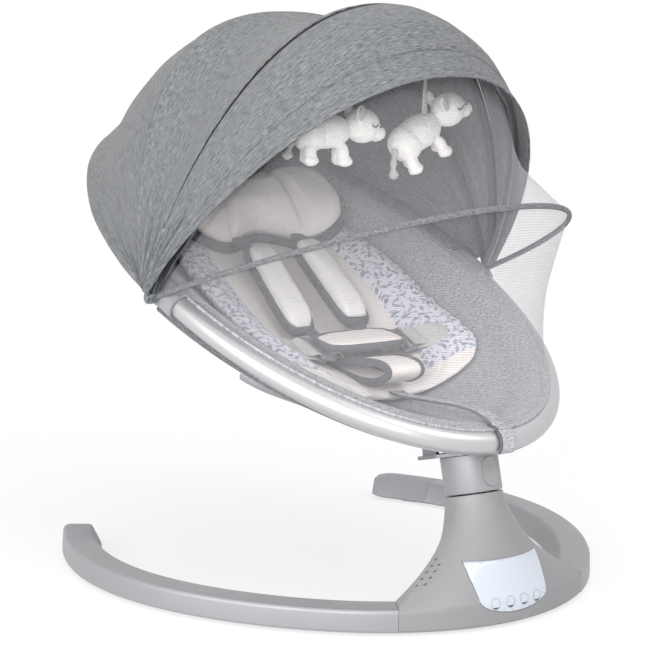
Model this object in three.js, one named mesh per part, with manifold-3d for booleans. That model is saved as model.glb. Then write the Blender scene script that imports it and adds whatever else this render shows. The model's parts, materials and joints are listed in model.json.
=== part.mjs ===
// Electric baby swing: a C-shaped floor base carries a flared pedestal, a leaning swing post, and an oval
// tube seat with a padded insert, a three-bow canopy and a net bow. Millimetres, +Z up, feet on Z = 0.
// The left and right halves mirror each other across X = 0, and the baby's feet point to -Y.
import * as THREE from "three";
import Module from "manifold-3d";

const wasm = await Module();
wasm.setup();

// ---------------------------------------------------------------- driving dimensions
const FIT = 0.3; // clearance between two pieces that touch
const CENTRE_SHIFT = -14.59; // moves the whole swing along Y so that its outline is centred

const FLOOR_GAP = 3; // height of the rubber feet
const PLAN_RADIUS = 270; // mean radius of the base's centre line, seen from above
const PLAN_OVAL = 12; // how much longer than wide that line is
const PLAN_SQUARE = 4.5; // how square its corners are
const ARM_HEIGHT = 23;
const ARM_OUTER = 23; // centre line to the outer wall
const ARM_INNER = 21; // centre line to the foot of the sloped inner wall
const ARM_LEDGE = 9; // centre line to the top of the sloped inner wall
const ARM_WALL = 1.6;
const ARM_CORNER = 5; // radius along the top edges
const ARM_HEEL = 3; // radius along the bottom edges
const PEDESTAL_END = 0.41; // radians from the front, where an arm leaves the pedestal
const CAP_START = 1.96;
const CAP_END = 2.24;
const SPIGOT = 16; // length of each plug inside an arm
const PLUG_FIT = 0.8; // clearance round a plug inside a bent tube

const POST_Y = -239.4; // the swing axis where it leaves the pedestal
const POST_Z = 117;
const POST_LEAN = rad(15.4);
const NECK_RADIUS = 29;
const PEDESTAL_WALL = 2.6;
const PANEL_TOP = 64; // the touch panel's upper edge, above the floor
const PANEL_SHOULDER = 40; // where its sides begin to curve in
const PANEL_SPRING = 30; // where its rounded foot begins
const PANEL_FOOT = 15.5; // depth of that foot
const PANEL_HALF_WIDTH = 48;
const INLET_X = 52;
const INLET_Y = -247;
const INLET_Z = 15;
const FLARE_FRONT = 1.75; // how quickly the pedestal's front corners spread towards the floor
const FLARE_REAR = 2.7;
const REAR_BULGE = 34; // extra depth behind the pedestal for the drive

const COLLAR_FROM = 1.4; // along the post
const COLLAR_TO = 39.6;
const COLLAR_WALL = 3;
const FLANGE = 3.6;
const BUTTON_UP = 20.5; // the release button's centre, along the post
const BUTTON_RADIUS = 9;
const BUTTON_STRAIGHT = 5.5; // half the straight stretch between its round ends
const BUTTON_PROUD = 1.6;
const DISH_RADIUS = 24; // finger dishes above and below the button's middle
const DISH_UP = 8.2;
const DISH_DEEP = 1.2;
const SHAFT_RADIUS = 8;
const BEARING_WALL = 3.6;
const HOUSING_WALL = 3;

const PIN_BACK = 22; // the recline pin, behind the post and above the pedestal's top
const PIN_UP = 54;
const PIN_RADIUS = 4;
const RECLINE_TURN = rad(8); // how far the seat leans back on the pin
const BRACKET_BACK = 38; // the seat bracket's rear edge, from the post
const BRACKET_HALF_WIDTH = 26;
const EAR_X = 30;
const EAR_RADIUS = 9;
const EAR_HALF_THICK = 2;

const SEAT_PITCH = rad(23.5);
const RING_Y = 26;
const RING_Z = 306;
const RING_HALF_WIDTH = 205; // to the tube's centre
const RING_HALF_LENGTH = 325;
const RING_TUBE = 12;
const RING_WALL = 1.5;
const RING_FIT = 1.2; // clearance of a piece that closes round the bent tube
const FORK_HALF_WIDTH = 180;
const FORK_HALF_LENGTH = 292;
const FORK_DROP = 22;
const FORK_TUBE = 8;
const FORK_WALL = 1.4;

const HUB_V = -22; // the canopy's pivot, along the seat
const HUB_SLEEVE = 16;
const PIVOT_PIN = 2.4;
const BOW_PITCH = 2.7; // from one bow to the next along the pivot pin
const BOW_THICK = 1.8;
const BOW_FIRST = 221.3; // half width of the innermost bow
const BOW_ACROSS = 2.1; // superellipse exponent of every bow, from side to side

// Angles are measured at the pivot, from the seat's foot end up and over to the head end.
const NET_BOW = { name: "net_bow", angle: rad(44), height: 320, shape: 1.45, place: 0, wide: 5 };
const FRONT_BOW = { name: "front_bow", angle: rad(80.5), height: 297, shape: 1.65, place: 1, wide: 8 };
const MIDDLE_BOW = { name: "middle_bow", angle: rad(98), height: 302, shape: 1.65, place: 2, wide: 8 };
const REAR_BOW = { name: "rear_bow", angle: rad(131), height: 293, shape: 2.1, place: 3, wide: 8 };
const VISOR_EDGE = { angle: rad(73.5), height: 293, shape: 1.65 };
const CLOTH = 1.4;
const CANOPY_CLEAR = 5.4; // from a bow's middle to the cloth outside it
const CANOPY_HALF_WIDTH = 233.5;

const SLING_DEPTH = 85;
const SLING_LOW_V = -60;
const SLING_CLOTH = 2.4;
const SLING_EDGE = 17.5; // ring centre to the cloth's edge
const INSERT_HALF_WIDTH = 142;
const INSERT_HALF_LENGTH = 192;
const INSERT_V = -4;
const INSERT_THICK = 26;
const INSERT_WING = 14;

// Each pad's centre along the seat, its half sizes, and its lower and upper face above the insert.
const PILLOW = { v: 134, halfWidth: 108, halfLength: 52, under: 2, over: 30 };
const BUCKLE = { v: -104, halfWidth: 22, halfLength: 15, under: 2, over: 13 };
const COVER = { v: -102, halfWidth: 47, halfLength: 22, under: 19, over: 31 };
const ROLL = { v: -156, halfWidth: 34, halfLength: 28, under: 2, over: 30 };
const SHOULDER = { u: 35, v: 7, halfWidth: 20, halfLength: 60, thick: 16 };
const SHOULDER_FOOT = { v: -53, w: -41 }; // the level of the shoulder pads' underside at each end
const SHOULDER_HEAD = { v: 67, w: -14 };
const STRAP_HALF_WIDTH = 10; // the foot strap
const STRAP_THICK = 1.5;

const TOY_X = 62;
const TOY_Z = 466;
const TOY_LONG = 104;
const TOY_TALL = 46;

// ---------------------------------------------------------------- finishes
const finish = (color, roughness, metalness = 0) =>
  new THREE.MeshStandardMaterial({ color, roughness, metalness });
const SATIN = finish(0xc9c9cc, 0.35, 0.6);
const SILVER = finish(0xb9babf, 0.4, 0.4);
const SHELL = finish(0xaeafb1, 0.55);
const CAP_GREY = finish(0x9a9ca4, 0.6);
const RUBBER = finish(0x5b5a58, 0.9);
const GLOSS = finish(0xdfe6ee, 0.12);
const STEEL = finish(0x8d9094, 0.35, 0.9);
const BOARD = finish(0x2f5d46, 0.6);
const BLACK = finish(0x2a2a2c, 0.6);
const COPPER = finish(0x9a5a34, 0.45, 0.8);
const MELANGE = finish(0x7c7e80, 0.95);
const LINER = finish(0xb4b5b9, 0.95);
const CREAM = finish(0xe6dedb, 0.95);
const PIPING = finish(0x8e9093, 0.95);
const PLUSH = finish(0xe9e8e5, 1);
const NET = finish(0xb8babd, 0.9);
const WEBBING = finish(0xc6c8c4, 0.85);

// ---------------------------------------------------------------- solid building
function rad(degrees) {
  return (degrees * Math.PI) / 180;
}

const lerp = (a, b, f) => a + (b - a) * f;
const vec = (x, y, z) => new THREE.Vector3(x, y, z);
const steps = (count) => Array.from({ length: count + 1 }, (_, i) => i / count);
const power = (value, exponent) => Math.sign(value) * Math.abs(value) ** exponent;

// Joins equal corners, drops faces that fold flat and turns the surface outwards.
function closed(points, faces) {
  const seen = new Map();
  const merged = [];
  const id = points.map((p) => {
    const key = [p.x, p.y, p.z].map((v) => Math.round(v * 2000)).join();
    if (!seen.has(key)) seen.set(key, merged.push(p) - 1);
    return seen.get(key);
  });
  const kept = faces
    .map((face) => face.map((corner) => id[corner]))
    .filter(([a, b, c]) => a !== b && b !== c && c !== a);
  const cross = new THREE.Vector3();
  const volume = kept.reduce(
    (sum, [a, b, c]) => sum + merged[a].dot(cross.crossVectors(merged[b], merged[c])), 0);
  const order = volume < 0 ? kept.map(([a, b, c]) => [a, c, b]) : kept;
  const geometry = new THREE.BufferGeometry();
  geometry.setAttribute(
    "position", new THREE.Float32BufferAttribute(merged.flatMap((p) => [p.x, p.y, p.z]), 3));
  geometry.setIndex(order.flat());
  return geometry;
}

// The side faces between neighbouring rings of corners.
function sides(rings, start, loop, inward) {
  const n = rings[0].length;
  const faces = [];
  const last = loop ? rings.length : rings.length - 1;
  for (let i = 0; i < last; i += 1) {
    const a = start + i * n;
    const b = start + ((i + 1) % rings.length) * n;
    for (let j = 0; j < n; j += 1) {
      const k = (j + 1) % n;
      const quad = [[a + j, a + k, b + k], [a + j, b + k, b + j]];
      faces.push(...(inward ? quad.map(([p, q, r]) => [p, r, q]) : quad));
    }
  }
  return faces;
}

// Triangles over one flat ring of corners, wound with it or against it.
function cap(points, start, count, against) {
  const ring = points.slice(start, start + count);
  const normal = new THREE.Vector3();
  ring.forEach((p, i) => normal.add(vec(0, 0, 0).crossVectors(p, ring[(i + 1) % count])));
  normal.normalize();
  const across = vec(normal.z, normal.x, normal.y).cross(normal).normalize();
  const up = normal.clone().cross(across);
  const flat = ring.map((p) => new THREE.Vector2(p.dot(across), p.dot(up)));
  const area = ([a, b, c]) =>
    (flat[b].x - flat[a].x) * (flat[c].y - flat[a].y) - (flat[b].y - flat[a].y) * (flat[c].x - flat[a].x);
  return THREE.ShapeUtils.triangulateShape(flat, []).map((triangle) => {
    const wound = area(triangle) > 0 ? triangle : [triangle[0], triangle[2], triangle[1]];
    const [a, b, c] = wound.map((corner) => corner + start);
    return against ? [a, c, b] : [a, b, c];
  });
}

function loft(rings, loop = false) {
  const n = rings[0].length;
  const points = rings.flat();
  const faces = sides(rings, 0, loop, false);
  if (!loop) {
    faces.push(...cap(points, 0, n, true), ...cap(points, (rings.length - 1) * n, n, false));
  }
  return closed(points, faces);
}

// An open-ended tube between an outer and an inner stack of rings.
function tube(outer, inner) {
  const n = outer[0].length;
  const depth = (outer.length - 1) * n;
  const start = outer.length * n;
  const faces = [...sides(outer, 0, false, false), ...sides(inner, start, false, true)];
  for (let j = 0; j < n; j += 1) {
    const k = (j + 1) % n;
    faces.push([k, j, start + j], [k, start + j, start + k]);
    faces.push([depth + j, depth + k, start + depth + k], [depth + j, start + depth + k, start + depth + j]);
  }
  return closed([...outer.flat(), ...inner.flat()], faces);
}

function toSolid(geometry) {
  return new wasm.Manifold(new wasm.Mesh({
    numProp: 3,
    vertProperties: new Float32Array(geometry.getAttribute("position").array),
    triVerts: new Uint32Array(geometry.index.array),
  }));
}

function toGeometry(solid) {
  const mesh = solid.getMesh();
  const geometry = new THREE.BufferGeometry();
  const corners = Array.from({ length: mesh.vertProperties.length / mesh.numProp }, (_, i) =>
    [0, 1, 2].map((axis) => mesh.vertProperties[i * mesh.numProp + axis]));
  geometry.setAttribute("position", new THREE.Float32BufferAttribute(corners.flat(), 3));
  geometry.setIndex(Array.from(mesh.triVerts));
  return geometry;
}

const cut = (body, ...tools) =>
  toGeometry(tools.reduce((left, tool) => left.subtract(toSolid(tool)), toSolid(body)));
const unite = (...bodies) =>
  toGeometry(bodies.map(toSolid).reduce((sum, next) => sum.add(next)));
const common = (a, b) => toGeometry(toSolid(a).intersect(toSolid(b)));

// ---------------------------------------------------------------- outlines and frames
// A polygon given by corners [x, y, radius], with each corner rounded in two chords.
function rounded(corners, chords = 2) {
  return corners.flatMap(([x, y, r], i) => {
    const [px, py] = corners[(i + corners.length - 1) % corners.length];
    const [nx, ny] = corners[(i + 1) % corners.length];
    const from = new THREE.Vector2(px - x, py - y).normalize();
    const to = new THREE.Vector2(nx - x, ny - y).normalize();
    const reach = r / Math.tan(Math.acos(from.dot(to)) / 2);
    const a = new THREE.Vector2(x, y).addScaledVector(from, reach);
    const b = new THREE.Vector2(x, y).addScaledVector(to, reach);
    const corner = new THREE.Vector2(x, y);
    return steps(chords).map((f) => {
      const p = a.clone().multiplyScalar((1 - f) ** 2);
      p.addScaledVector(corner, 2 * f * (1 - f)).addScaledVector(b, f * f);
      return [p.x, p.y];
    });
  });
}

const circle = (radius, count) =>
  steps(count).slice(1).map((f) => [radius * Math.cos(2 * Math.PI * f), radius * Math.sin(2 * Math.PI * f)]);
const box = (x, y) => [[-x, -y], [x, -y], [x, y], [-x, y]];

// A frame holds an origin and the two directions a flat outline is laid along.
const place = (outline, frame) =>
  outline.map(([a, b]) => frame.at.clone().addScaledVector(frame.a, a).addScaledVector(frame.b, b));

function prism(outline, frame, from, to) {
  const along = frame.a.clone().cross(frame.b);
  const ring = (depth) => place(outline, { ...frame, at: frame.at.clone().addScaledVector(along, depth) });
  return loft([ring(from), ring(to)]);
}

// The post's own frame: a is X, b points back, and their cross product points down the post.
const POST_UP = vec(0, Math.sin(POST_LEAN), Math.cos(POST_LEAN));
const POST_BACK = vec(0, Math.cos(POST_LEAN), -Math.sin(POST_LEAN));
function post(x, back, up) {
  return vec(x, POST_Y, POST_Z).addScaledVector(POST_BACK, back).addScaledVector(POST_UP, up);
}
const postRing = (outline, up) => outline.map(([x, back]) => post(x, back, up));
const postSolid = (outline, from, to) => loft([postRing(outline, from), postRing(outline, to)]);
const postTube = (outer, inner, from, to, count = 24) =>
  tube([from, to].map((up) => postRing(circle(outer, count), up)),
    [from, to].map((up) => postRing(circle(inner, count), up)));

// The seat's own frame: u to the right, v towards the head, w up out of the ring.
const SEAT_V = vec(0, Math.cos(SEAT_PITCH), Math.sin(SEAT_PITCH));
const SEAT_W = vec(0, -Math.sin(SEAT_PITCH), Math.cos(SEAT_PITCH));
function seat(u, v, w) {
  return vec(u, RING_Y, RING_Z).addScaledVector(SEAT_V, v).addScaledVector(SEAT_W, w);
}

const mirrored = (geometry) => {
  const other = geometry.clone();
  other.scale(-1, 1, 1);
  const index = Array.from(other.index.array);
  for (let i = 0; i < index.length; i += 3) [index[i + 1], index[i + 2]] = [index[i + 2], index[i + 1]];
  other.setIndex(index);
  return other;
};

const swing = new THREE.Group();
swing.name = "baby_swing";
function add(name, geometry, material) {
  geometry.translate(0, CENTRE_SHIFT, 0);
  geometry.computeVertexNormals();
  const mesh = new THREE.Mesh(geometry, material);
  mesh.name = name;
  swing.add(mesh);
}
function addPair(name, right, material) {
  const left = mirrored(right);
  add(`right_${name}`, right, material);
  add(`left_${name}`, left, material);
}

// ---------------------------------------------------------------- floor base
// The base's centre line: phi runs from the front, positive towards +X.
const planRadius = (phi) => PLAN_RADIUS + PLAN_OVAL * Math.cos(2 * phi) + PLAN_SQUARE * Math.cos(4 * phi);
function baseFrame(phi) {
  const point = (p) => vec(planRadius(p) * Math.sin(p), -planRadius(p) * Math.cos(p), 0);
  const along = point(phi + 1e-4).sub(point(phi - 1e-4)).normalize();
  return { at: point(phi), a: vec(along.y, -along.x, 0), b: vec(0, 0, 1) };
}
function armSection(inset = 0, scale = 1) {
  const low = FLOOR_GAP + inset;
  const high = FLOOR_GAP + ARM_HEIGHT - inset;
  const outline = rounded([
    [inset * 1.3 - ARM_INNER, low, ARM_HEEL - inset],
    [ARM_OUTER - inset, low, ARM_HEEL - inset],
    [ARM_OUTER - 1 - inset, high, ARM_CORNER - inset],
    [inset * 1.3 - ARM_LEDGE, high, ARM_CORNER - inset],
  ]);
  const [midX, midZ] = [1, FLOOR_GAP + ARM_HEIGHT / 2];
  return outline.map(([x, z]) => [midX + (x - midX) * scale, midZ + (z - midZ) * scale]);
}
const armRings = (from, to, count, inset) =>
  steps(count).map((f) => place(armSection(inset), baseFrame(lerp(from, to, f))));
const arcOf = (length) => length / PLAN_RADIUS;
const GAP = arcOf(FIT);
const ARM_STEPS = 11;

const arm = tube(
  armRings(PEDESTAL_END + GAP, CAP_START - GAP, ARM_STEPS, 0),
  armRings(PEDESTAL_END + GAP, CAP_START - GAP, ARM_STEPS, ARM_WALL));
addPair("arm_tube", arm, SILVER);

const capEnd = [
  [CAP_START, 1], [lerp(CAP_START, CAP_END, 0.5), 1], [lerp(CAP_START, CAP_END, 0.86), 0.98], [CAP_END, 0.8],
].map(([phi, scale]) => place(armSection(0, scale), baseFrame(phi)));
const capPlug = armRings(CAP_START - arcOf(SPIGOT), CAP_START + GAP, 2, ARM_WALL + PLUG_FIT);
addPair("end_cap", unite(loft(capEnd), loft(capPlug)), CAP_GREY);

const footOutline = rounded([[-14, -8, 6], [14, -8, 6], [14, 8, 6], [-14, 8, 6]]);
function foot(phi) {
  const { at, a } = baseFrame(phi);
  const along = vec(-a.y, a.x, 0);
  const frame = { at: vec(at.x, at.y, 0), a: along, b: a.clone().negate() };
  const ring = (z) => place(footOutline, frame).map((p) => vec(p.x, p.y, z));
  return loft([ring(0), ring(FLOOR_GAP - FIT)]);
}
addPair("front_foot", foot(0.24), RUBBER);
addPair("side_foot", foot(0.86), RUBBER);
addPair("rear_foot", foot(2.06), RUBBER);

// ---------------------------------------------------------------- pedestal
// How far a level reaches each side of the base's centre line. The arms' rounded and sloped section holds
// at the pedestal's two ends, and fades to upright walls in the middle.
function reachAt(height, phi) {
  const f = Math.min(1, height / ARM_HEIGHT);
  const toEnd = Math.abs(phi / PEDESTAL_END) ** 3;
  const roundTop = 4 * Math.max(0, (f - 0.78) / 0.22) ** 2 * toEnd;
  const roundFoot = 3 * Math.max(0, 1 - f / 0.13) ** 2;
  const bulge = REAR_BULGE * Math.cos((Math.PI / 2) * (phi / PEDESTAL_END)) ** 2;
  return {
    outer: ARM_OUTER - f - roundTop - roundFoot,
    inner: lerp(ARM_INNER, lerp(ARM_INNER, ARM_LEDGE, f), toEnd) - roundTop - roundFoot + bulge,
  };
}
function pedestalOutline(height, inset, count) {
  const end = PEDESTAL_END - arcOf(inset);
  const edge = (f, side) => {
    const phi = lerp(-end, end, f);
    const { outer, inner } = reachAt(height, phi);
    return place([[side > 0 ? outer - inset : inset - inner, 0]], baseFrame(phi))[0];
  };
  const front = steps(count).map((f) => edge(f, 1));
  const back = steps(count).map((f) => edge(1 - f, -1));
  const between = (a, b) => steps(4).slice(1, -1).map((f) => a.clone().lerp(b, f));
  return [...front, ...between(front.at(-1), back[0]), ...back, ...between(back.at(-1), front[0])];
}
function neckOutline(radius, count, up) {
  const sweep = (from, to, n) => steps(n).map((f) => lerp(from, to, f));
  const angles = [
    ...sweep(-76, 76, count), ...sweep(76, 104, 4).slice(1, -1),
    ...sweep(104, 256, count), ...sweep(256, 284, 4).slice(1, -1),
  ].map(rad);
  return angles.map((t) => post(radius * Math.sin(t), -radius * Math.cos(t), up));
}
// The pedestal's outer surface moved inwards by inset; above and below let a cutter run past both ends.
function pedestalBody(inset, above = 0, below = 0) {
  const count = 8;
  const floor = FLOOR_GAP - below;
  const levels = [0, 0.13, 0.78, 0.92, 1].map((f) => {
    const height = f * ARM_HEIGHT;
    const z = f === 0 ? floor : FLOOR_GAP + height;
    return pedestalOutline(height, inset, count).map((p) => vec(p.x, p.y, z));
  });
  const low = levels.at(-1);
  const high = neckOutline(NECK_RADIUS - inset, count, 0);
  for (const f of [0.12, 0.28, 0.5, 0.74, 1]) {
    levels.push(low.map((p, i) => {
      const front = i <= count ? Math.cos(Math.PI * (i / count - 0.5)) : 0;
      const rear = Math.min(1, Math.max(0, i - count) / 4, (low.length - i) / 4);
      const spread = (1 - f) ** lerp(lerp(FLARE_FRONT, 1, front), FLARE_REAR, rear);
      const q = high[i];
      return vec(lerp(q.x, p.x, spread), lerp(q.y, p.y, spread), lerp(p.z, q.z, f));
    }));
  }
  if (above > 0) levels.push(neckOutline(NECK_RADIUS - inset, count, above));
  return loft(levels);
}

const outerShape = pedestalBody(0);
const cavity = pedestalBody(PEDESTAL_WALL, 0, 2);
const neckTop = postSolid(circle(NECK_RADIUS + 30, 24), -PEDESTAL_WALL, 30);
const hollow = cut(cavity, neckTop);

// The touch panel lies in a shallow recess in the pedestal's front.
const panelOutline = (grow) => [
  ...steps(2).map((f) => [lerp(-PANEL_HALF_WIDTH, PANEL_HALF_WIDTH, f), PANEL_TOP]),
  [PANEL_HALF_WIDTH - 1.5, PANEL_SHOULDER],
  ...steps(6).map((f) => [
    (PANEL_HALF_WIDTH - 3.5) * Math.cos(Math.PI * f), PANEL_SPRING - PANEL_FOOT * Math.sin(Math.PI * f)]),
  [1.5 - PANEL_HALF_WIDTH, PANEL_SHOULDER],
].map(([x, z]) => [x + Math.sign(x) * grow, z + (z > PANEL_SHOULDER ? grow : -grow)]);
function panelCutter(grow) {
  const frame = { at: vec(0, -255, 0), a: vec(1, 0, 0), b: vec(0, 0, 1) };
  return prism(panelOutline(grow), frame, 0, 90);
}
const skin = (from, to) => cut(pedestalBody(from, 0, 1), pedestalBody(to, 1, 2));
const panelRecess = common(skin(-2, 1.5), panelCutter(FIT));
const touchPanel = common(skin(-0.3, 1.2), panelCutter(0));

// Speaker holes: a slanted band of small drillings through the left flank.
const holeAt = (row, column) => ({
  at: vec(-30, -258 - 5.2 * column + 1.2 * row, 41 + 5.2 * row + 1.6 * column),
  a: vec(0, 1, 0), b: vec(0, 0, 1),
});
const speakerHoles = [0, 1, 2, 3, 4].flatMap((row) =>
  [0, 1, 2].filter((column) => row + column < 6 && row + column > 0).map((column) =>
    prism(circle(1.25, 6), holeAt(row, column), -75, 0)));

const inletFrame = { at: vec(INLET_X, INLET_Y, INLET_Z), a: vec(0, 0, 1), b: vec(1, 0, 0) };
const inletOpening = prism(box(5.5, 6.5), inletFrame, -12, 20);
const postBore = postSolid(circle(SHAFT_RADIUS + BEARING_WALL + HOUSING_WALL + 2 * FIT, 24), -12, 12);
const spigot = loft(armRings(PEDESTAL_END - 0.03, PEDESTAL_END + arcOf(SPIGOT), 2, ARM_WALL + PLUG_FIT));

const pedestal = cut(
  unite(cut(outerShape, hollow), spigot, mirrored(spigot)),
  panelRecess, inletOpening, postBore, ...speakerHoles);
add("pedestal_shell", pedestal, SHELL);
add("touch_panel", touchPanel, GLOSS);

const coverLevel = (z) =>
  pedestalOutline(0, PEDESTAL_WALL + 3 * FIT, 8).map((p) => vec(p.x, p.y, z));
add("bottom_cover", loft([coverLevel(FLOOR_GAP + 0.2), coverLevel(FLOOR_GAP + 2.4)]), SHELL);

const boardFrame = { at: vec(0, -279, 40), a: vec(1, 0, 0), b: vec(0, Math.sin(rad(16)), Math.cos(rad(16))) };
add("control_board", prism(box(26, 15), boardFrame, -0.8, 0.8), BOARD);
const speakerFrame = { at: vec(-44, -257, 42), a: vec(0, 1, 0), b: vec(0, 0, 1) };
add("speaker", unite(prism(circle(13, 16), speakerFrame, -8, -4), prism(circle(8, 16), speakerFrame, -5, 4)),
  BLACK);
const jack = cut(prism(box(5.1, 6.1), inletFrame, -4, 9), prism(circle(2.9, 12), inletFrame, -3, 16));
add("power_inlet", jack, BLACK);

// ---------------------------------------------------------------- swing post and drive
const BEARING_OUTER = SHAFT_RADIUS + FIT + BEARING_WALL;
const HOUSING_INNER = BEARING_OUTER + FIT;
add("bearing_housing", postTube(HOUSING_INNER + HOUSING_WALL - FIT, HOUSING_INNER, -40, 26, 16), SHELL);
add("lower_bearing", postTube(BEARING_OUTER, SHAFT_RADIUS + FIT, -39, -30, 16), STEEL);
add("upper_bearing", postTube(BEARING_OUTER, SHAFT_RADIUS + FIT, 16, 25, 16), STEEL);

const shaft = unite(
  postSolid(circle(SHAFT_RADIUS, 16), -44, COLLAR_TO + 1.3), postSolid(circle(15, 16), -47, -43));
const flangeOutline = rounded([
  [-26, -27, 12], [26, -27, 12], [37, 8, 12], [37, 44, 16], [-37, 44, 16], [-37, 8, 12],
], 3);
const flangeFrom = COLLAR_TO + FIT;
const flangeTo = flangeFrom + FLANGE;
const earFrame = { at: post(0, PIN_BACK, 0), a: POST_BACK, b: POST_UP };
const ear = (x) => {
  const outline = [
    [-EAR_RADIUS - 2, flangeTo - 1], ...steps(6).map((f) => [
      -EAR_RADIUS * Math.cos(Math.PI * f), PIN_UP + EAR_RADIUS * Math.sin(Math.PI * f)]),
    [EAR_RADIUS + 2, flangeTo - 1],
  ];
  return prism(outline, earFrame, x - EAR_HALF_THICK, x + EAR_HALF_THICK);
};
const pinBore = prism(circle(PIN_RADIUS + FIT, 16).map(([a, b]) => [a, b + PIN_UP]), earFrame, -45, 45);
add("swing_shaft", cut(unite(shaft, postSolid(flangeOutline, flangeFrom, flangeTo), ear(-EAR_X), ear(EAR_X)), pinBore),
  STEEL);
add("drive_magnet", postTube(13, 6, -51, -47.3, 12), BLACK);
add("drive_coil", postTube(12, 4, -62, -53, 12), COPPER);

// The collar turns with the seat just above the pedestal and carries the release button.
const buttonOutline = (grow) => [
  ...steps(6).map((f) => [
    (BUTTON_RADIUS + grow) * Math.cos(Math.PI * f),
    BUTTON_STRAIGHT + (BUTTON_RADIUS + grow) * Math.sin(Math.PI * f)]),
  ...steps(6).map((f) => [
    -(BUTTON_RADIUS + grow) * Math.cos(Math.PI * f),
    -BUTTON_STRAIGHT - (BUTTON_RADIUS + grow) * Math.sin(Math.PI * f)]),
];
const buttonFrame = { at: post(0, 0, BUTTON_UP), a: vec(1, 0, 0), b: POST_UP };
const collarRings = (shrink) => [
  [COLLAR_FROM, 1.2], [COLLAR_FROM + 1.4, 0], [COLLAR_TO, 0],
].map(([up, ease]) => postRing(circle(NECK_RADIUS - shrink - (shrink ? 0 : ease), 24), up));
add("neck_collar",
  cut(tube(collarRings(0), collarRings(COLLAR_WALL)), prism(buttonOutline(FIT), buttonFrame, 10, 40)), SATIN);

const buttonBlank = prism(buttonOutline(0), buttonFrame, 20, 36);
const BUTTON_FACE = NECK_RADIUS + BUTTON_PROUD;
const buttonFace = postSolid(circle(BUTTON_FACE, 36), -5, 45);
const dish = (up) => {
  const centre = post(0, DISH_DEEP - BUTTON_FACE - DISH_RADIUS, BUTTON_UP + up);
  const frame = { at: centre, a: POST_BACK, b: POST_UP };
  return prism(circle(DISH_RADIUS, 28), frame, -14, 14);
};
add("release_button", cut(common(buttonBlank, buttonFace), dish(DISH_UP), dish(-DISH_UP)), CAP_GREY);
add("button_spring", prism(circle(3, 8), buttonFrame, HOUSING_INNER + HOUSING_WALL + FIT, 19.7), STEEL);

// ---------------------------------------------------------------- seat frame
const ellipse = (a, b, t, w) => {
  const tangent = seat(-a * Math.sin(t), b * Math.cos(t), 0).sub(seat(0, 0, 0)).normalize();
  return { at: seat(a * Math.cos(t), b * Math.sin(t), w), a: tangent.cross(SEAT_W), b: SEAT_W };
};
const ringFrame = (t) => ellipse(RING_HALF_WIDTH, RING_HALF_LENGTH, t, 0);
const ringRings = (radius, from, to, count, chords = 10) =>
  steps(count).map((f) => place(circle(radius, chords), ringFrame(lerp(from, to, f))));
const ringTube = (from, to, count, outer, inner, chords) =>
  tube(ringRings(outer, from, to, count, chords), ringRings(inner, from, to, count, chords));

const HUB_T = Math.asin(HUB_V / RING_HALF_LENGTH);
const HUB_HALF = rad(4.2);
const HUB_GAP = rad(0.5); // half the gap between the two tubes inside a hub
add("ring_front_tube", ringTube(
  rad(180) - HUB_T + HUB_GAP, rad(360) + HUB_T - HUB_GAP, 18, RING_TUBE, RING_TUBE - RING_WALL), SATIN);
add("ring_rear_tube", ringTube(
  HUB_T + HUB_GAP, rad(180) - HUB_T - HUB_GAP, 16, RING_TUBE, RING_TUBE - RING_WALL, 8), STEEL);

const bossFrame = { at: seat(0, HUB_V, 0), a: SEAT_V, b: SEAT_W };
const BOSS_END = BOW_FIRST - BOW_PITCH / 2 - 1;
const hubSleeve = loft(ringRings(HUB_SLEEVE, HUB_T - HUB_HALF, HUB_T + HUB_HALF, 2, 12));
const hubBore = loft(ringRings(RING_TUBE + RING_FIT, HUB_T - 2 * HUB_HALF, HUB_T + 2 * HUB_HALF, 4));
const boss = prism(circle(9, 14), bossFrame, 208, BOSS_END);
const hubFace = prism(box(40, 40), bossFrame, BOSS_END, BOSS_END + 20);
addPair("canopy_hub", cut(unite(hubSleeve, boss), hubBore, hubFace), CAP_GREY);

const pinStart = BOSS_END + FIT;
const pinEnd = BOW_FIRST + 3.5 * BOW_PITCH;
addPair("canopy_pin", unite(
  prism(circle(PIVOT_PIN, 12), bossFrame, pinStart, pinEnd + 0.8),
  prism(circle(4.2, 12), bossFrame, pinEnd, pinEnd + 1.4)), STEEL);

// The fork runs under the ring from side to side and passes over the post.
const FORK_STEPS = 16;
function forkRings(radius, from = 0, to = 1, count = FORK_STEPS) {
  return steps(count).map((g) => {
    const f = lerp(from, to, g);
    const t = rad(lerp(206, 334, f));
    const side = Math.max(0, Math.abs(2 * f - 1) - 0.72) / 0.28;
    const ease = side * side * (3 - 2 * side);
    const a = lerp(FORK_HALF_WIDTH, RING_HALF_WIDTH - 6, ease);
    const b = lerp(FORK_HALF_LENGTH, RING_HALF_LENGTH - 8, ease);
    return place(circle(radius, 8), ellipse(a, b, t, -lerp(FORK_DROP, 20.4, ease)));
  });
}
add("seat_fork", tube(forkRings(FORK_TUBE), forkRings(FORK_TUBE - FORK_WALL)), SILVER);

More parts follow.
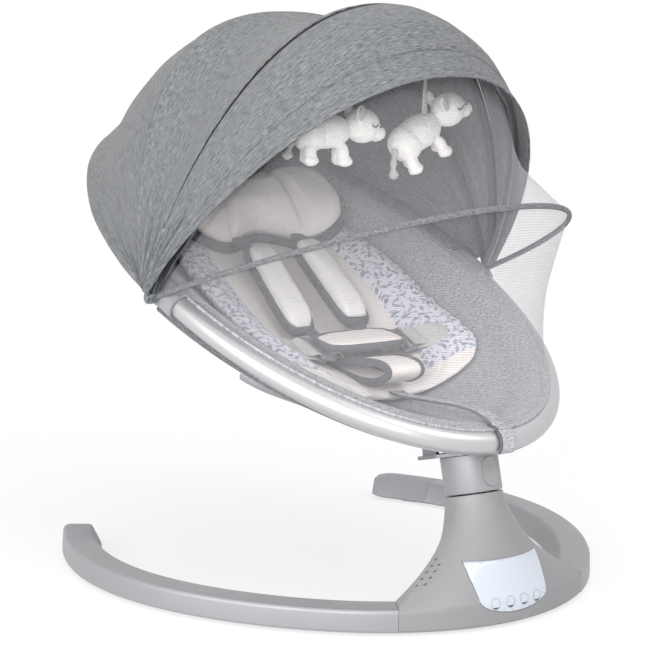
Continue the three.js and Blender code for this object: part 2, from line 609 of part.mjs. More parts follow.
const CLAMP_RADIUS = 10.8;
const bracketDrop = (BRACKET_BACK - PIN_BACK) * Math.sin(RECLINE_TURN); // as the seat leans back
const bracketOutline = [
  [-26, flangeTo + 3], [BRACKET_BACK, flangeTo + 1.1 + bracketDrop], [BRACKET_BACK + 2, 60],
  [20, 62], [2, 60], [-12, 58], [-26, 51.5],
];
const bracketFrame = { at: post(0, 0, 0), a: POST_BACK, b: POST_UP };
const bracket = unite(
  prism(bracketOutline, bracketFrame, -BRACKET_HALF_WIDTH, BRACKET_HALF_WIDTH),
  cut(loft(forkRings(CLAMP_RADIUS, 0.455, 0.545, 4)), postSolid(box(60, 60), flangeFrom - 10, flangeTo + FIT)));
const ringClear = loft(ringRings(RING_TUBE + RING_FIT, rad(250), rad(290), 6));
add("seat_bracket",
  cut(bracket, loft(forkRings(FORK_TUBE + 2 * FIT, 0.375, 0.625, FORK_STEPS / 4)), ringClear,
    prism(circle(PIN_RADIUS + FIT, 16).map(([a, b]) => [a + PIN_BACK, b + PIN_UP]), bracketFrame, -45, 45)), BLACK);
add("recline_pin",
  prism(circle(PIN_RADIUS, 16).map(([a, b]) => [a + PIN_BACK, b + PIN_UP]), bracketFrame, -33, 33), STEEL);

// ---------------------------------------------------------------- canopy and net bows
// A point on the dome: tau goes from the right pivot over the top to the left one.
function dome(tau, { angle, height, shape }, halfWidth) {
  const across = halfWidth * power(Math.cos(tau), 2 / BOW_ACROSS);
  const up = height * power(Math.sin(tau), 2 / shape);
  return seat(across, HUB_V - Math.cos(angle) * up, Math.sin(angle) * up);
}
const bowHalfWidth = (bow) => BOW_FIRST + BOW_PITCH * bow.place;
function bowBody(bow) {
  const halfWidth = bowHalfWidth(bow);
  const out = seat(0, -Math.cos(bow.angle), Math.sin(bow.angle)).sub(seat(0, 0, 0));
  const over = out.clone().cross(vec(1, 0, 0));
  const rings = steps(16).map((f) => {
    const tau = lerp(0.012, Math.PI - 0.012, f);
    const at = dome(tau, bow, halfWidth);
    const near = (d) => dome(tau + d, bow, halfWidth);
    const along = near(1e-3).sub(near(-1e-3)).normalize();
    return place(box(BOW_THICK / 2, bow.wide / 2), { at, a: over.clone().cross(along), b: over });
  });
  const eye = (radius, thick) => prism(circle(radius, 12), bossFrame, halfWidth - thick, halfWidth + thick);
  const hole = eye(PIVOT_PIN + FIT, 4);
  const strip = cut(loft(rings), hole, mirrored(hole));
  const ring = cut(eye(6.5, 1.2), hole);
  return unite(strip, ring, mirrored(ring));
}
for (const bow of [NET_BOW, FRONT_BOW, MIDDLE_BOW, REAR_BOW]) {
  add(bow.name, bowBody(bow), bow === NET_BOW ? MELANGE : STEEL);
}

// Cloth between two edges: each edge gives a point for tau and a distance in from the outside.
const TAU_STEPS = 14;
const START = 0.1;
function cloth(edges, columns, bulge, first = START) {
  return loft(steps(TAU_STEPS).map((f) => {
    const tau = lerp(first, Math.PI - first, f);
    const row = (inset) => steps(columns).map((s) => {
      const puff = bulge * Math.sin(Math.PI * s) * Math.sin(tau) ** 1.4;
      return edges(tau, s, inset - puff);
    });
    return [...row(0), ...row(CLOTH).reverse()];
  }));
}
const trimmed = (bow, degrees, grow = 0) => (
  { ...bow, angle: bow.angle + rad(degrees), height: bow.height + grow });
const canopyEdge = (from, to) => (tau, s, inset) => {
  const [angle, height, shape] = ["angle", "height", "shape"].map((key) => lerp(from[key], to[key], s));
  return dome(tau, { angle, shape, height: height + CANOPY_CLEAR - inset }, CANOPY_HALF_WIDTH - inset);
};

const rearEdge = (tau, inset) => dome(
  tau, trimmed(REAR_BOW, 0.6, CANOPY_CLEAR - inset), CANOPY_HALF_WIDTH - inset);
const SLEEVE_OUTER = 15.6;
const headEdge = (tau, inset) => {
  const t = lerp(HUB_T, Math.PI - HUB_T, tau / Math.PI);
  const grow = SLEEVE_OUTER + 2.2 - inset;
  return seat((RING_HALF_WIDTH + grow) * Math.cos(t), (RING_HALF_LENGTH + grow) * Math.sin(t), 5);
};
const rearPanel = (tau, s, inset) => {
  const p = rearEdge(tau, inset).lerp(headEdge(tau, inset), s);
  const away = p.clone().sub(seat(0, HUB_V + 60, 0)).normalize();
  return p.addScaledVector(away, 10 * Math.sin(Math.PI * s) * Math.sin(tau) ** 0.6);
};
add("canopy_rear_panel", cloth(rearPanel, 4, 0), MELANGE);
add("canopy_middle_panel", cloth(canopyEdge(trimmed(REAR_BOW, -0.6), trimmed(MIDDLE_BOW, 0.6)), 4, -7), MELANGE);
add("canopy_front_panel", cloth(canopyEdge(trimmed(MIDDLE_BOW, -0.6), trimmed(FRONT_BOW, 0.6)), 3, -2), MELANGE);
add("canopy_visor", cloth(canopyEdge(trimmed(FRONT_BOW, -0.6), VISOR_EDGE), 2, 0), MELANGE);

const netTop = (tau, inset) => dome(
  tau, trimmed(FRONT_BOW, -4, -8 - inset), bowHalfWidth(FRONT_BOW) - 8 - inset);
const netMiddle = (tau, degrees, inset) => dome(
  tau, trimmed(NET_BOW, degrees, -4 - inset), bowHalfWidth(NET_BOW) - 6 - inset);
const netFoot = (tau, inset) => {
  const t = lerp(HUB_T, -Math.PI - HUB_T, tau / Math.PI);
  const shrink = 9 + inset;
  return seat((RING_HALF_WIDTH - shrink) * Math.cos(t), (RING_HALF_LENGTH - shrink) * Math.sin(t), 15.5);
};
const sagging = (top, foot, sag) => (tau, s, inset) => {
  const p = top(tau, inset).lerp(foot(tau, inset), s);
  const inwards = seat(0, HUB_V, 0).sub(p).normalize();
  return p.addScaledVector(inwards, sag * Math.sin(Math.PI * s) * Math.sin(tau));
};
add("net_upper", cloth(sagging(netTop, (tau, inset) => netMiddle(tau, 1, inset), 16), 3, 0, 0.16), NET);
add("net_lower", cloth(sagging((tau, inset) => netMiddle(tau, -1, inset), netFoot, 16), 3, 0, 0.16), NET);

// ---------------------------------------------------------------- seat cloth and padding
const SLING_HALF_WIDTH = RING_HALF_WIDTH - SLING_EDGE;
const SLING_HALF_LENGTH = RING_HALF_LENGTH - SLING_EDGE;
const halfWidthAt = (v) => SLING_HALF_WIDTH * Math.sqrt(Math.max(0, 1 - (v / SLING_HALF_LENGTH) ** 2));
function slingAt(u, v) {
  const reach = SLING_HALF_LENGTH + (v < SLING_LOW_V ? SLING_LOW_V : -SLING_LOW_V);
  const lengthwise = 1 - Math.min(1, Math.abs(v - SLING_LOW_V) / reach) ** 1.5;
  const wide = halfWidthAt(v) || 1;
  const crosswise = Math.max(0, 1 - (u / wide) ** 2) ** 1.3;
  return -SLING_DEPTH * lengthwise * crosswise;
}
const slingRing = (t) => {
  const at = (rho, drop) => {
    const u = SLING_HALF_WIDTH * rho * Math.cos(t);
    const v = lerp(SLING_LOW_V, 0, rho) + SLING_HALF_LENGTH * rho * Math.sin(t);
    return seat(u, v, slingAt(u, v) + 1 - drop);
  };
  const rho = [0, 0.3, 0.52, 0.7, 0.86, 1];
  return [...rho.map((r) => at(r, 0)), ...rho.map((r) => at(r, SLING_CLOTH)).reverse()];
};
add("seat_sling", loft(steps(24).slice(1).map((f) => slingRing(2 * Math.PI * f)), true), LINER);
add("rim_sleeve", ringTube(rad(1.5), rad(178.5), 16, SLEEVE_OUTER, RING_TUBE + RING_FIT, 8), MELANGE);

const paddingTop = (u, v) => {
  const r = Math.min(1, Math.hypot(u / INSERT_HALF_WIDTH, (v - INSERT_V) / INSERT_HALF_LENGTH));
  return slingAt(u, v) + 3.6 + INSERT_THICK + INSERT_WING * r * r;
};
const insertRing = (t) => {
  const at = (rho, onTop) => {
    const [across, along] = [power(Math.cos(t), 2 / 2.5), power(Math.sin(t), 2 / 2.5)];
    const u = INSERT_HALF_WIDTH * rho * across;
    const v = INSERT_V + INSERT_HALF_LENGTH * rho * along;
    const bottom = slingAt(u, v) + 3.6;
    return seat(u, v, onTop ? lerp(bottom + 5, paddingTop(u, v), Math.sqrt(1 - rho ** 6)) : bottom);
  };
  const rho = [0, 0.35, 0.65, 0.86, 0.96, 1];
  return [...rho.map((r) => at(r, true)), ...rho.map((r) => at(r, false)).reverse()];
};
add("seat_insert", loft(steps(20).slice(1).map((f) => insertRing(2 * Math.PI * f)), true), CREAM);

// A pad laid on the insert: an outline in u and v, a lower surface and a domed upper one.
function pad({ u, v, halfWidth, halfLength, shape, under, over, edge = 4, count = 12 }) {
  const ring = (t) => {
    const at = (rho, onTop) => {
      const x = u + halfWidth * rho * power(Math.cos(t), 2 / shape);
      const y = v + halfLength * rho * power(Math.sin(t), 2 / shape);
      const low = under(x, y);
      const rim = lerp(low, over(x, y), 0.3);
      return seat(x, y, onTop ? lerp(Math.max(low + edge, rim), over(x, y), Math.sqrt(1 - rho ** 4)) : low);
    };
    const rho = [0, 0.5, 0.82, 1];
    return [...rho.map((r) => at(r, true)), ...rho.map((r) => at(r, false)).reverse()];
  };
  return loft(steps(count).slice(1).map((f) => ring(2 * Math.PI * f)), true);
}
const onInsert = (gap) => (u, v) => paddingTop(u, v) + gap;
const alongInsert = (gap) => (u, v) => paddingTop(0, v) + gap;
add("head_pillow", pad({
  ...PILLOW, u: 0, shape: 3.2, count: 16, under: onInsert(PILLOW.under), over: onInsert(PILLOW.over),
}), CREAM);

const shoulderLevel = (v) => lerp(
  SHOULDER_FOOT.w, SHOULDER_HEAD.w, (v - SHOULDER_FOOT.v) / (SHOULDER_HEAD.v - SHOULDER_FOOT.v));
addPair("shoulder_pad", pad({
  ...SHOULDER, shape: 5,
  under: (u, v) => shoulderLevel(v), over: (u, v) => shoulderLevel(v) + SHOULDER.thick,
}), PLUSH);
add("harness_buckle", pad({
  ...BUCKLE, u: 0, shape: 6, under: onInsert(BUCKLE.under), over: onInsert(BUCKLE.over),
}), BLACK);
add("crotch_cover", pad({
  ...COVER, u: 0, shape: 4, under: alongInsert(COVER.under), over: alongInsert(COVER.over),
}), CREAM);
add("crotch_roll", pad({
  ...ROLL, u: 0, shape: 4, under: onInsert(ROLL.under), over: onInsert(ROLL.over),
}), CREAM);

// Waist webbing rises from the insert's wing and drops to the buckle.
const waist = steps(8).map((f) => {
  const u = lerp(24, 122, f);
  const w = paddingTop(u, -100) + 4.2 + 10 * Math.sin(Math.PI * f ** 1.6);
  return [-1, 1].map((side) => seat(u, -100 + side * lerp(8, 17, f), w));
});
const waistRings = waist.map(([front, back]) => {
  const up = SEAT_W.clone().multiplyScalar(1.6);
  return [front, back, back.clone().add(up), front.clone().add(up)];
});
addPair("waist_strap", loft(waistRings), WEBBING);

// The foot strap joins the insert's front edge to the ring and wraps round the tube.
const STRAP_WRAP = RING_TUBE + 0.8; // ring centre to the strap round it
const strapPath = [
  [-203, paddingTop(0, -194) - 12], [-240, -9], [-280, 6],
  ...steps(8).map((f) => {
    const t = rad(lerp(62, 195, f));
    return [-RING_HALF_LENGTH + STRAP_WRAP * Math.cos(t), STRAP_WRAP * Math.sin(t)];
  }),
];
const strapRings = strapPath.map(([v, w], i) => {
  const before = strapPath[Math.max(0, i - 1)];
  const after = strapPath[Math.min(strapPath.length - 1, i + 1)];
  const run = new THREE.Vector2(after[0] - before[0], after[1] - before[1]).normalize();
  const [nv, nw] = [run.y, -run.x].map((value) => STRAP_THICK * value);
  const wide = STRAP_HALF_WIDTH;
  return [seat(-wide, v, w), seat(wide, v, w), seat(wide, v + nv, w + nw), seat(-wide, v + nv, w + nw)];
});
add("foot_strap", loft(strapRings), PIPING);

// ---------------------------------------------------------------- hanging toys
const toyTop = dome(Math.acos(TOY_X / 230), MIDDLE_BOW, bowHalfWidth(MIDDLE_BOW));
const TOY_Y = toyTop.y;
function ball(x, y, z, rx, ry, rz, across = 8, tall = 6) {
  const points = steps(tall).map((f) => {
    const t = Math.PI * (f - 0.5);
    return steps(across).slice(1).map((g) => {
      const a = 2 * Math.PI * g;
      return vec(x + rx * Math.cos(t) * Math.cos(a), y + ry * Math.cos(t) * Math.sin(a), z + rz * Math.sin(t));
    });
  });
  return loftPoles(points);
}
function loftPoles(rings) {
  return closed(rings.flat(), sides(rings, 0, false, false));
}
function toy(x) {
  const [long, tall] = [TOY_LONG / 2, TOY_TALL / 2];
  const legs = [[-0.42, -0.4], [-0.42, 0.4], [0.24, -0.4], [0.24, 0.4]].map(([along, side]) =>
    ball(x + long * along, TOY_Y + tall * side, TOY_Z - 0.66 * tall, 8, 7.5, 0.55 * tall, 5, 2));
  return unite(
    ball(x - 0.1 * long, TOY_Y, TOY_Z, 0.62 * long, 0.8 * tall, 0.8 * tall, 8, 5),
    ball(x + 0.62 * long, TOY_Y, TOY_Z + 0.3 * tall, 0.38 * long, 0.7 * tall, 0.7 * tall, 7, 4),
    ball(x - 0.8 * long, TOY_Y, TOY_Z - 0.25 * tall, 0.2 * long, 5, 9, 5, 3), ...legs);
}
function ribbon(x) {
  const ring = (z) => [[-4, -0.6], [4, -0.6], [4, 0.6], [-4, 0.6]].map(([a, b]) => vec(x + a, TOY_Y + b, z));
  return loft([ring(TOY_Z + 0.8 * TOY_TALL / 2 + 0.6), ring(toyTop.z - 6.5)]);
}
for (const [side, x] of [["left", -TOY_X], ["right", TOY_X]]) {
  add(`${side}_toy`, toy(x), PLUSH);
  add(`${side}_toy_ribbon`, ribbon(x), WEBBING);
}

export default swing;
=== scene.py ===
"""Electric baby swing: finished surfaces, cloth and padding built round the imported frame.

Lengths are metres. The seat has directions of its own: u to the right, v towards the head
and w up out of the ring. The swing post has back and up. Places come from the frame's
joints and boxes, and each class keeps the sizes of its own sub-assembly.
"""

import json
import logging
from dataclasses import dataclass, field, replace
from enum import Enum
from functools import partialmethod
from math import asin, copysign, cos, exp, hypot, pi, radians, sin, sqrt, tan
from typing import Callable, Optional, Sequence

import bmesh
import bpy
from mathutils import Matrix, Vector, noise
from mathutils.bvhtree import BVHTree


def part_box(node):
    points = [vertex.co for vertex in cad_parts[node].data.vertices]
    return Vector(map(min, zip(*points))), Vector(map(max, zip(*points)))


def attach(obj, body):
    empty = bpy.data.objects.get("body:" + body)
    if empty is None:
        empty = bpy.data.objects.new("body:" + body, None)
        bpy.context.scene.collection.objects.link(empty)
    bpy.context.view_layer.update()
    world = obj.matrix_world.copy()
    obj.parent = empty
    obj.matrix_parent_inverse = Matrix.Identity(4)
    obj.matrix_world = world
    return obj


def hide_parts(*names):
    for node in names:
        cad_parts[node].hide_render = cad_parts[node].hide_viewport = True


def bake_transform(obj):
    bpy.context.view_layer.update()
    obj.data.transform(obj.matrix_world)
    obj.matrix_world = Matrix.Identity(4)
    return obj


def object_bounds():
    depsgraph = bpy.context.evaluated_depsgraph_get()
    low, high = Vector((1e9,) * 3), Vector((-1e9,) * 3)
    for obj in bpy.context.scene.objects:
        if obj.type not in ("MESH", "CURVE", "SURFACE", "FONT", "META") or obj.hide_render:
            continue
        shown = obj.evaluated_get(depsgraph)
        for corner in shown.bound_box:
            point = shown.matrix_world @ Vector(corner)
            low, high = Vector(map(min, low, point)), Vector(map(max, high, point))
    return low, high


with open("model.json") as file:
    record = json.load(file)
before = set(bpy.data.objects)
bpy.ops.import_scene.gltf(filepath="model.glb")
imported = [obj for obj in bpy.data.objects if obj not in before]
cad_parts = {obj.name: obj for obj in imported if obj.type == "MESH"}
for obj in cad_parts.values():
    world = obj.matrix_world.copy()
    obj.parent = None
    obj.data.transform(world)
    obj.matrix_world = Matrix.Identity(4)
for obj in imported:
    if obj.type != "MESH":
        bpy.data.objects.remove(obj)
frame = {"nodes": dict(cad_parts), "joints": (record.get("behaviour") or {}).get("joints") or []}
PACKED_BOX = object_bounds()
LOG = logging.getLogger("baby_swing")

Line = Callable[[float], Vector]
Track = Callable[[float], Matrix]
Place = Callable[[float, float], Vector]
Section = Callable[[float, float], tuple[float, float]]
Mesh = bmesh.types.BMesh
Piece = bpy.types.Object
Look = bpy.types.Material
Tree = bpy.types.NodeTree
Node = bpy.types.Node
Socket = bpy.types.NodeSocket

MERGE = 1e-6  # points closer than this are one
NEAR = 1e-3  # a step along a line, to find its direction
SWELL_FRAMES = 18  # how long the pads swell


# ------------------------------------------------------------------ small helpers
def lerp(a: float, b: float, f: float) -> float:
    """The value a share f of the way from a to b."""
    return a + (b - a) * f


def ease(low: float, high: float, x: float) -> float:
    """0 below low, 1 above high, and a smooth rise between."""
    f = min(1.0, max(0.0, (x - low) / (high - low)))
    return f * f * (3 - 2 * f)


def hump(x: float, centre: float, width: float) -> float:
    """A bell of height 1 at centre that has died out about two widths away."""
    return exp(-(((x - centre) / width) ** 2))


def power(value: float, exponent: float) -> float:
    """value to the exponent, with the sign of value kept."""
    return copysign(abs(value) ** exponent, value)


def soft_noise(x: float, y: float, z: float) -> float:
    """Soft noise from -1 to 1."""
    return noise.noise(Vector((x, y, z)))


def joint(name: str) -> dict:
    """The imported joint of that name."""
    return next(j for j in frame["joints"] if j["name"] == name)


def colour(code: str) -> tuple[float, float, float, float]:
    """A linear colour from a six-digit sRGB code.

    Args:
        code: Two hexadecimal digits each for red, green and blue.

    Returns:
        Red, green, blue and an alpha of 1.
    """
    parts = [int(code[i:i + 2], 16) / 255 for i in (0, 2, 4)]
    red, green, blue = [c / 12.92 if c < 0.04045 else ((c + 0.055) / 1.055) ** 2.4 for c in parts]
    return (red, green, blue, 1.0)


# ------------------------------------------------------------------ the swing's own directions
@dataclass(frozen=True)
class SeatPlane:
    """The tilted plane of the oval seat ring, and the dome of bows that turns on its pivots."""

    pitch: float = radians(23.5)
    hub_v: float = -0.022
    half_width: float = 0.205
    half_length: float = 0.325
    tube: float = 0.012
    bow_across: float = 2.1  # the superellipse exponent across a bow
    bend_share: float = 0.6  # the share of the way from the pivots to a place that part_way gives

    def centre(self) -> Vector:
        """The middle of the ring."""
        return Vector(joint("canopy_fold")["pos_m"]) - self.along() * self.hub_v

    def along(self) -> Vector:
        """The direction towards the head."""
        return Vector((0, cos(self.pitch), sin(self.pitch)))

    def above(self) -> Vector:
        """The direction up out of the ring."""
        return Vector((0, -sin(self.pitch), cos(self.pitch)))

    def point(self, u: float, v: float, w: float) -> Vector:
        """The place of seat coordinates u, v and w."""
        return self.centre() + Vector((u, 0, 0)) + self.along() * v + self.above() * w

    def part_way(self, place: Vector) -> Vector:
        """A point between the pivots and a place."""
        return self.point(0, self.hub_v, 0).lerp(place, self.bend_share)

    def read(self, place: Vector) -> Vector:
        """The seat coordinates of a place."""
        away = place - self.centre()
        return Vector((away.x, away.dot(self.along()), away.dot(self.above())))

    def ring(self, turn: float, grow: float = 0.0, w: float = 0.0) -> Vector:
        """A point on the ring's centre line, grown outwards in the plane and lifted by w."""
        return self.point(
            (self.half_width + grow) * cos(turn), (self.half_length + grow) * sin(turn), w)

    def dome(self, tau: float, angle: float, height: float, shape: float,
             half_width: float) -> Vector:
        """A point on a bow's arch.

        Args:
            tau: 0 at the right pivot, pi at the left one.
            angle: The bow's turn about the pivots, from the foot end up and over.
            height: How far the arch rises from the pivots.
            shape: The superellipse exponent that rounds the arch's shoulders.
            half_width: Half the distance between the arch's two ends.

        Returns:
            The point.
        """
        across = half_width * power(cos(tau), 2 / self.bow_across)
        up = height * max(0.0, sin(tau)) ** (2 / shape)
        return self.point(across, self.hub_v - cos(angle) * up, sin(angle) * up)


@dataclass(frozen=True)
class PostAxis:
    """The leaning swing post above the pedestal."""

    lean: float = radians(15.4)

    def point(self, x: float, back: float, up: float) -> Vector:
        """The place x to the right, back from the post and up along it."""
        foot = Vector(joint("swing")["pos_m"]) + Vector((x, 0, 0))
        return foot + self.back() * back + self.up() * up

    def up(self) -> Vector:
        """The post's own direction."""
        return Vector((0, sin(self.lean), cos(self.lean)))

    def back(self) -> Vector:
        """The direction square to the post, towards the seat's head end."""
        return Vector((0, cos(self.lean), -sin(self.lean)))


SEAT = SeatPlane()
POST = PostAxis()


@dataclass(frozen=True)
class Bow:
    """One arch of the canopy or net."""

    angle: float
    height: float
    shape: float
    half_width: float

    def point(self, tau: float, turn: float = 0.0, rise: float = 0.0, widen: float = 0.0) -> Vector:
        """A point on the arch, turned by that many degrees, raised and widened."""
        return SEAT.dome(tau, radians(self.angle + turn), self.height + rise, self.shape,
                         self.half_width + widen)


NET_BOW = Bow(44, 0.320, 1.45, 0.2213)
FRONT_BOW = Bow(80.5, 0.297, 1.65, 0.2240)
MIDDLE_BOW = Bow(98, 0.302, 1.65, 0.2267)
REAR_BOW = Bow(131, 0.293, 2.1, 0.2294)
VISOR_EDGE = Bow(73.5, 0.293, 1.65, 0.2240)


# ------------------------------------------------------------------ mesh building
def laid(columns: int, rows: int, place: Place, size: Sequence[float] = (1.0, 1.0)) -> Mesh:
    """Lays a grid through place(s, t), with its flat size in the UV map "cloth".

    Args:
        columns: Faces along s.
        rows: Faces along t.
        place: Gives the point for s and t, each from 0 to 1.
        size: Flat length along s and t.

    Returns:
        A mesh whose meeting edges are merged.
    """
    bm = bmesh.new()
    uv = bm.loops.layers.uv.new("cloth")
    bmesh.ops.create_grid(bm, x_segments=columns, y_segments=rows, size=0.5)
    for face in bm.faces:
        for loop in face.loops:
            spot = loop.vert.co
            loop[uv].uv = ((spot.x + 0.5) * size[0], (spot.y + 0.5) * size[1])
    for vert in bm.verts:
        vert.co = place(vert.co.x + 0.5, vert.co.y + 0.5)
    bmesh.ops.remove_doubles(bm, verts=bm.verts, dist=MERGE)
    return bm


def outward(bm: Mesh) -> Mesh:
    """Turns every face of a closed mesh outwards."""
    bmesh.ops.recalc_face_normals(bm, faces=bm.faces)
    return bm


def closed(columns: int, rows: int, place: Place, size: Sequence[float] = (1.0, 1.0)) -> Mesh:
    """Lays a tube through place(s, t) like laid, fills its ends and turns its faces outwards."""
    bm = laid(columns, rows, place, size)
    bmesh.ops.holes_fill(bm, edges=[edge for edge in bm.edges if edge.is_boundary], sides=0)
    return outward(bm)


def swept(path: Track, section: Section, steps: int, chords: int,
          size: Sequence[float] = (1.0, 1.0)) -> Mesh:
    """A closed bar: a section carried along a path.

    Args:
        path: Gives the frame at a share of the length; the section lies in its x and y.
        section: Gives x and y for a share of the way round and of the length.
        steps: Faces along the bar.
        chords: Faces round it.
        size: Flat length round and along, for the UV map.
    """
    frames: dict[float, Matrix] = {}

    def place(s: float, t: float) -> Vector:
        key = round(t, 6)
        if key not in frames:
            frames[key] = path(t)
        x, y = section(s, t)
        return frames[key] @ Vector((x, y, 0))

    return closed(chords, steps, place, size)


def frame_at(origin: Vector, x_axis: Vector, y_axis: Vector) -> Matrix:
    """A placing matrix from an origin and two directions."""
    x_unit, y_unit = x_axis.normalized(), y_axis.normalized()
    z_unit = x_unit.cross(y_unit).normalized()
    turned = Matrix((x_unit, y_unit, z_unit)).transposed().to_4x4()
    return Matrix.Translation(origin) @ turned


def across(line: Line, t: float, step: float = NEAR) -> Matrix:
    """The frame across a line in the seat at t: x sideways, y up out of the ring."""
    run = line(t + step) - line(t - step)
    return frame_at(line(t), run.cross(SEAT.above()), SEAT.above())


def round_section(radius_x: float, radius_y: Optional[float] = None) -> Section:
    """A circular or oval section for swept."""
    tall = radius_y or radius_x

    def section(s: float, _: float) -> tuple[float, float]:
        return radius_x * cos(2 * pi * s), tall * sin(2 * pi * s)

    return section


def spun(profile: Sequence[tuple[float, float]], base: Matrix, steps: int) -> Mesh:
    """Turns a closed profile of (radius, height) pairs round the z of base."""
    bm = bmesh.new()
    ring = [bm.verts.new((r, 0, z)) for r, z in profile]
    edges = [bm.edges.new((a, b)) for a, b in zip(ring, ring[1:] + ring[:1])]
    bmesh.ops.spin(bm, geom=ring + edges, cent=(0, 0, 0), axis=(0, 0, 1), angle=2 * pi,
                   steps=steps, use_merge=True)
    bmesh.ops.remove_doubles(bm, verts=bm.verts, dist=MERGE)
    bmesh.ops.transform(bm, matrix=base, verts=bm.verts)
    return bm


def block(size: Sequence[float], base: Matrix, radius: float, segments: int = 3) -> Mesh:
    """A box of that size with rounded edges, placed by base."""
    bm = bmesh.new()
    bmesh.ops.create_cube(bm, size=1, matrix=Matrix.Diagonal((*size, 1)))
    bmesh.ops.bevel(bm, geom=bm.edges[:], offset=radius, segments=segments, profile=0.5,
                    affect="EDGES", material=-1)
    bmesh.ops.transform(bm, matrix=base, verts=bm.verts)
    return bm


def extruded(outline: Sequence[Sequence[float]], move: Sequence[float]) -> Mesh:
    """A flat outline carried along move into a closed block."""
    bm = bmesh.new()
    face = bm.faces.new([bm.verts.new(spot) for spot in outline])
    grown = bmesh.ops.extrude_face_region(bm, geom=[face])
    moved = [item for item in grown["geom"] if isinstance(item, bmesh.types.BMVert)]
    bmesh.ops.translate(bm, vec=move, verts=moved)
    return outward(bm)


def ball(centre: Vector, radii: Sequence[float], turn: Matrix) -> Mesh:
    """An ellipsoid for a stuffed shape."""
    bm = bmesh.new()
    spread = Matrix.Translation(centre) @ turn @ Matrix.Diagonal((*radii, 1))
    bmesh.ops.create_icosphere(bm, subdivisions=3, radius=1, matrix=spread)
    return bm


def joined(parts: Sequence[Mesh]) -> Mesh:
    """Puts several meshes into one."""
    whole = bmesh.new()
    for part in parts:
        mesh = bpy.data.meshes.new("part")
        part.to_mesh(mesh)
        part.free()
        whole.from_mesh(mesh)
        bpy.data.meshes.remove(mesh)
    return whole


def mirrored(bm: Mesh) -> Mesh:
    """A copy across the swing's middle plane."""
    other = bm.copy()
    bmesh.ops.scale(other, vec=(-1, 1, 1), verts=other.verts)
    bmesh.ops.reverse_faces(other, faces=other.faces)
    return other


def to_object(name: str, bm: Mesh, sharp: float = 40.0) -> Piece:
    """Makes an object of a mesh, smooth but for edges sharper than that many degrees."""
    for face in bm.faces:
        face.smooth = True
    mesh = bpy.data.meshes.new(name)
    bm.to_mesh(mesh)
    bm.free()
    mesh.set_sharp_from_angle(angle=radians(sharp))
    piece = bpy.data.objects.new(name, mesh)
    bpy.context.scene.collection.objects.link(piece)
    return piece


def baked(piece: Piece) -> Piece:
    """Turns a piece's modifiers into its mesh."""
    graph = bpy.context.evaluated_depsgraph_get()
    mesh = bpy.data.meshes.new_from_object(piece.evaluated_get(graph))
    piece.modifiers.clear()
    old, piece.data = piece.data, mesh
    mesh.name = piece.name
    bpy.data.meshes.remove(old)
    return piece


def smooth(piece: Piece) -> Piece:
    """Shades every face smooth."""
    for polygon in piece.data.polygons:
        polygon.use_smooth = True
    return piece


def carved(piece: Piece, tool: Mesh) -> Piece:
    """Cuts a closed mesh out of a piece."""
    cutter = to_object(piece.name + "_cutter", tool)
    modifier = piece.modifiers.new("cut", "BOOLEAN")
    modifier.operation, modifier.solver, modifier.object = "DIFFERENCE", "EXACT", cutter
    baked(piece)
    bpy.data.objects.remove(cutter)
    return smooth(piece)


def walled(piece: Piece, thickness: float, lining: bool = False) -> Piece:
    """Gives a sheet its thickness inwards, with the second material there if it is lined."""
    solid = piece.modifiers.new("wall", "SOLIDIFY")
    solid.thickness, solid.offset = thickness, -1.0
    solid.material_offset = 1 if lining else 0
    solid.material_offset_rim = 0
    return piece


def evened(piece: Piece, voxel: float) -> None:
    """Hangs an even remesh on a piece."""
    remesh = piece.modifiers.new("even", "REMESH")
    remesh.mode, remesh.voxel_size, remesh.use_smooth_shade = "VOXEL", voxel, True


def softened(piece: Piece, rounds: int) -> None:
    """Hangs rounds of smoothing on a piece."""
    soften = piece.modifiers.new("soften", "SMOOTH")
    soften.factor, soften.iterations = 0.5, rounds


def dress(piece: Piece, body: Optional[str], looks: Sequence[Look], slot: str,
          *stands_for: str) -> Piece:
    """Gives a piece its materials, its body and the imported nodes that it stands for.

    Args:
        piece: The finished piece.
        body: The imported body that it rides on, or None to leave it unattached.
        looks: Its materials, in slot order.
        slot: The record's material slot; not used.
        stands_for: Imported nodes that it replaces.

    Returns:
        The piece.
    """
    piece.data.materials.clear()
    for look in looks:
        piece.data.materials.append(look)
    if body:
        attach(piece, body)
    if stands_for:
        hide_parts(*stands_for)
    LOG.info("%s: %d faces", piece.name, len(piece.data.polygons))
    return piece


def made(name: str, bm: Mesh, body: str, look: Look, slot: str,
         *stands_for: str, sharp: float = 60) -> Piece:
    """Makes a piece of a mesh and dresses it; see to_object and dress."""
    return dress(to_object(name, bm, sharp), body, (look,), slot, *stands_for)


def repaint(look: Look, *nodes: str) -> None:
    """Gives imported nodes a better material."""
    for name in nodes:
        for place in frame["nodes"][name].material_slots:
            place.material = look


def flat_uv(piece: Piece) -> Piece:
    """Lays the UV map "cloth" on a piece from its seat coordinates u and v."""
    mesh = piece.data
    layer = mesh.uv_layers.get("cloth") or mesh.uv_layers.new(name="cloth")
    flat = [SEAT.read(vert.co) for vert in mesh.vertices]
    for loop in mesh.loops:
        spot = flat[loop.vertex_index]
        layer.data[loop.index].uv = (spot.x, spot.y)
    return piece


def shifted(piece: Piece, move: Callable[[Vector, Vector], Vector]) -> Piece:
    """Moves each vertex by move(place, normal)."""
    normals = [vert.normal.copy() for vert in piece.data.vertices]
    for vert, normal in zip(piece.data.vertices, normals):
        vert.co += move(vert.co.copy(), normal)
    piece.data.update()
    return piece


def crumple(place: Vector, scale: float) -> float:
    """Soft noise from -1 to 1 whose folds are about that long."""
    return noise.noise(place / scale)


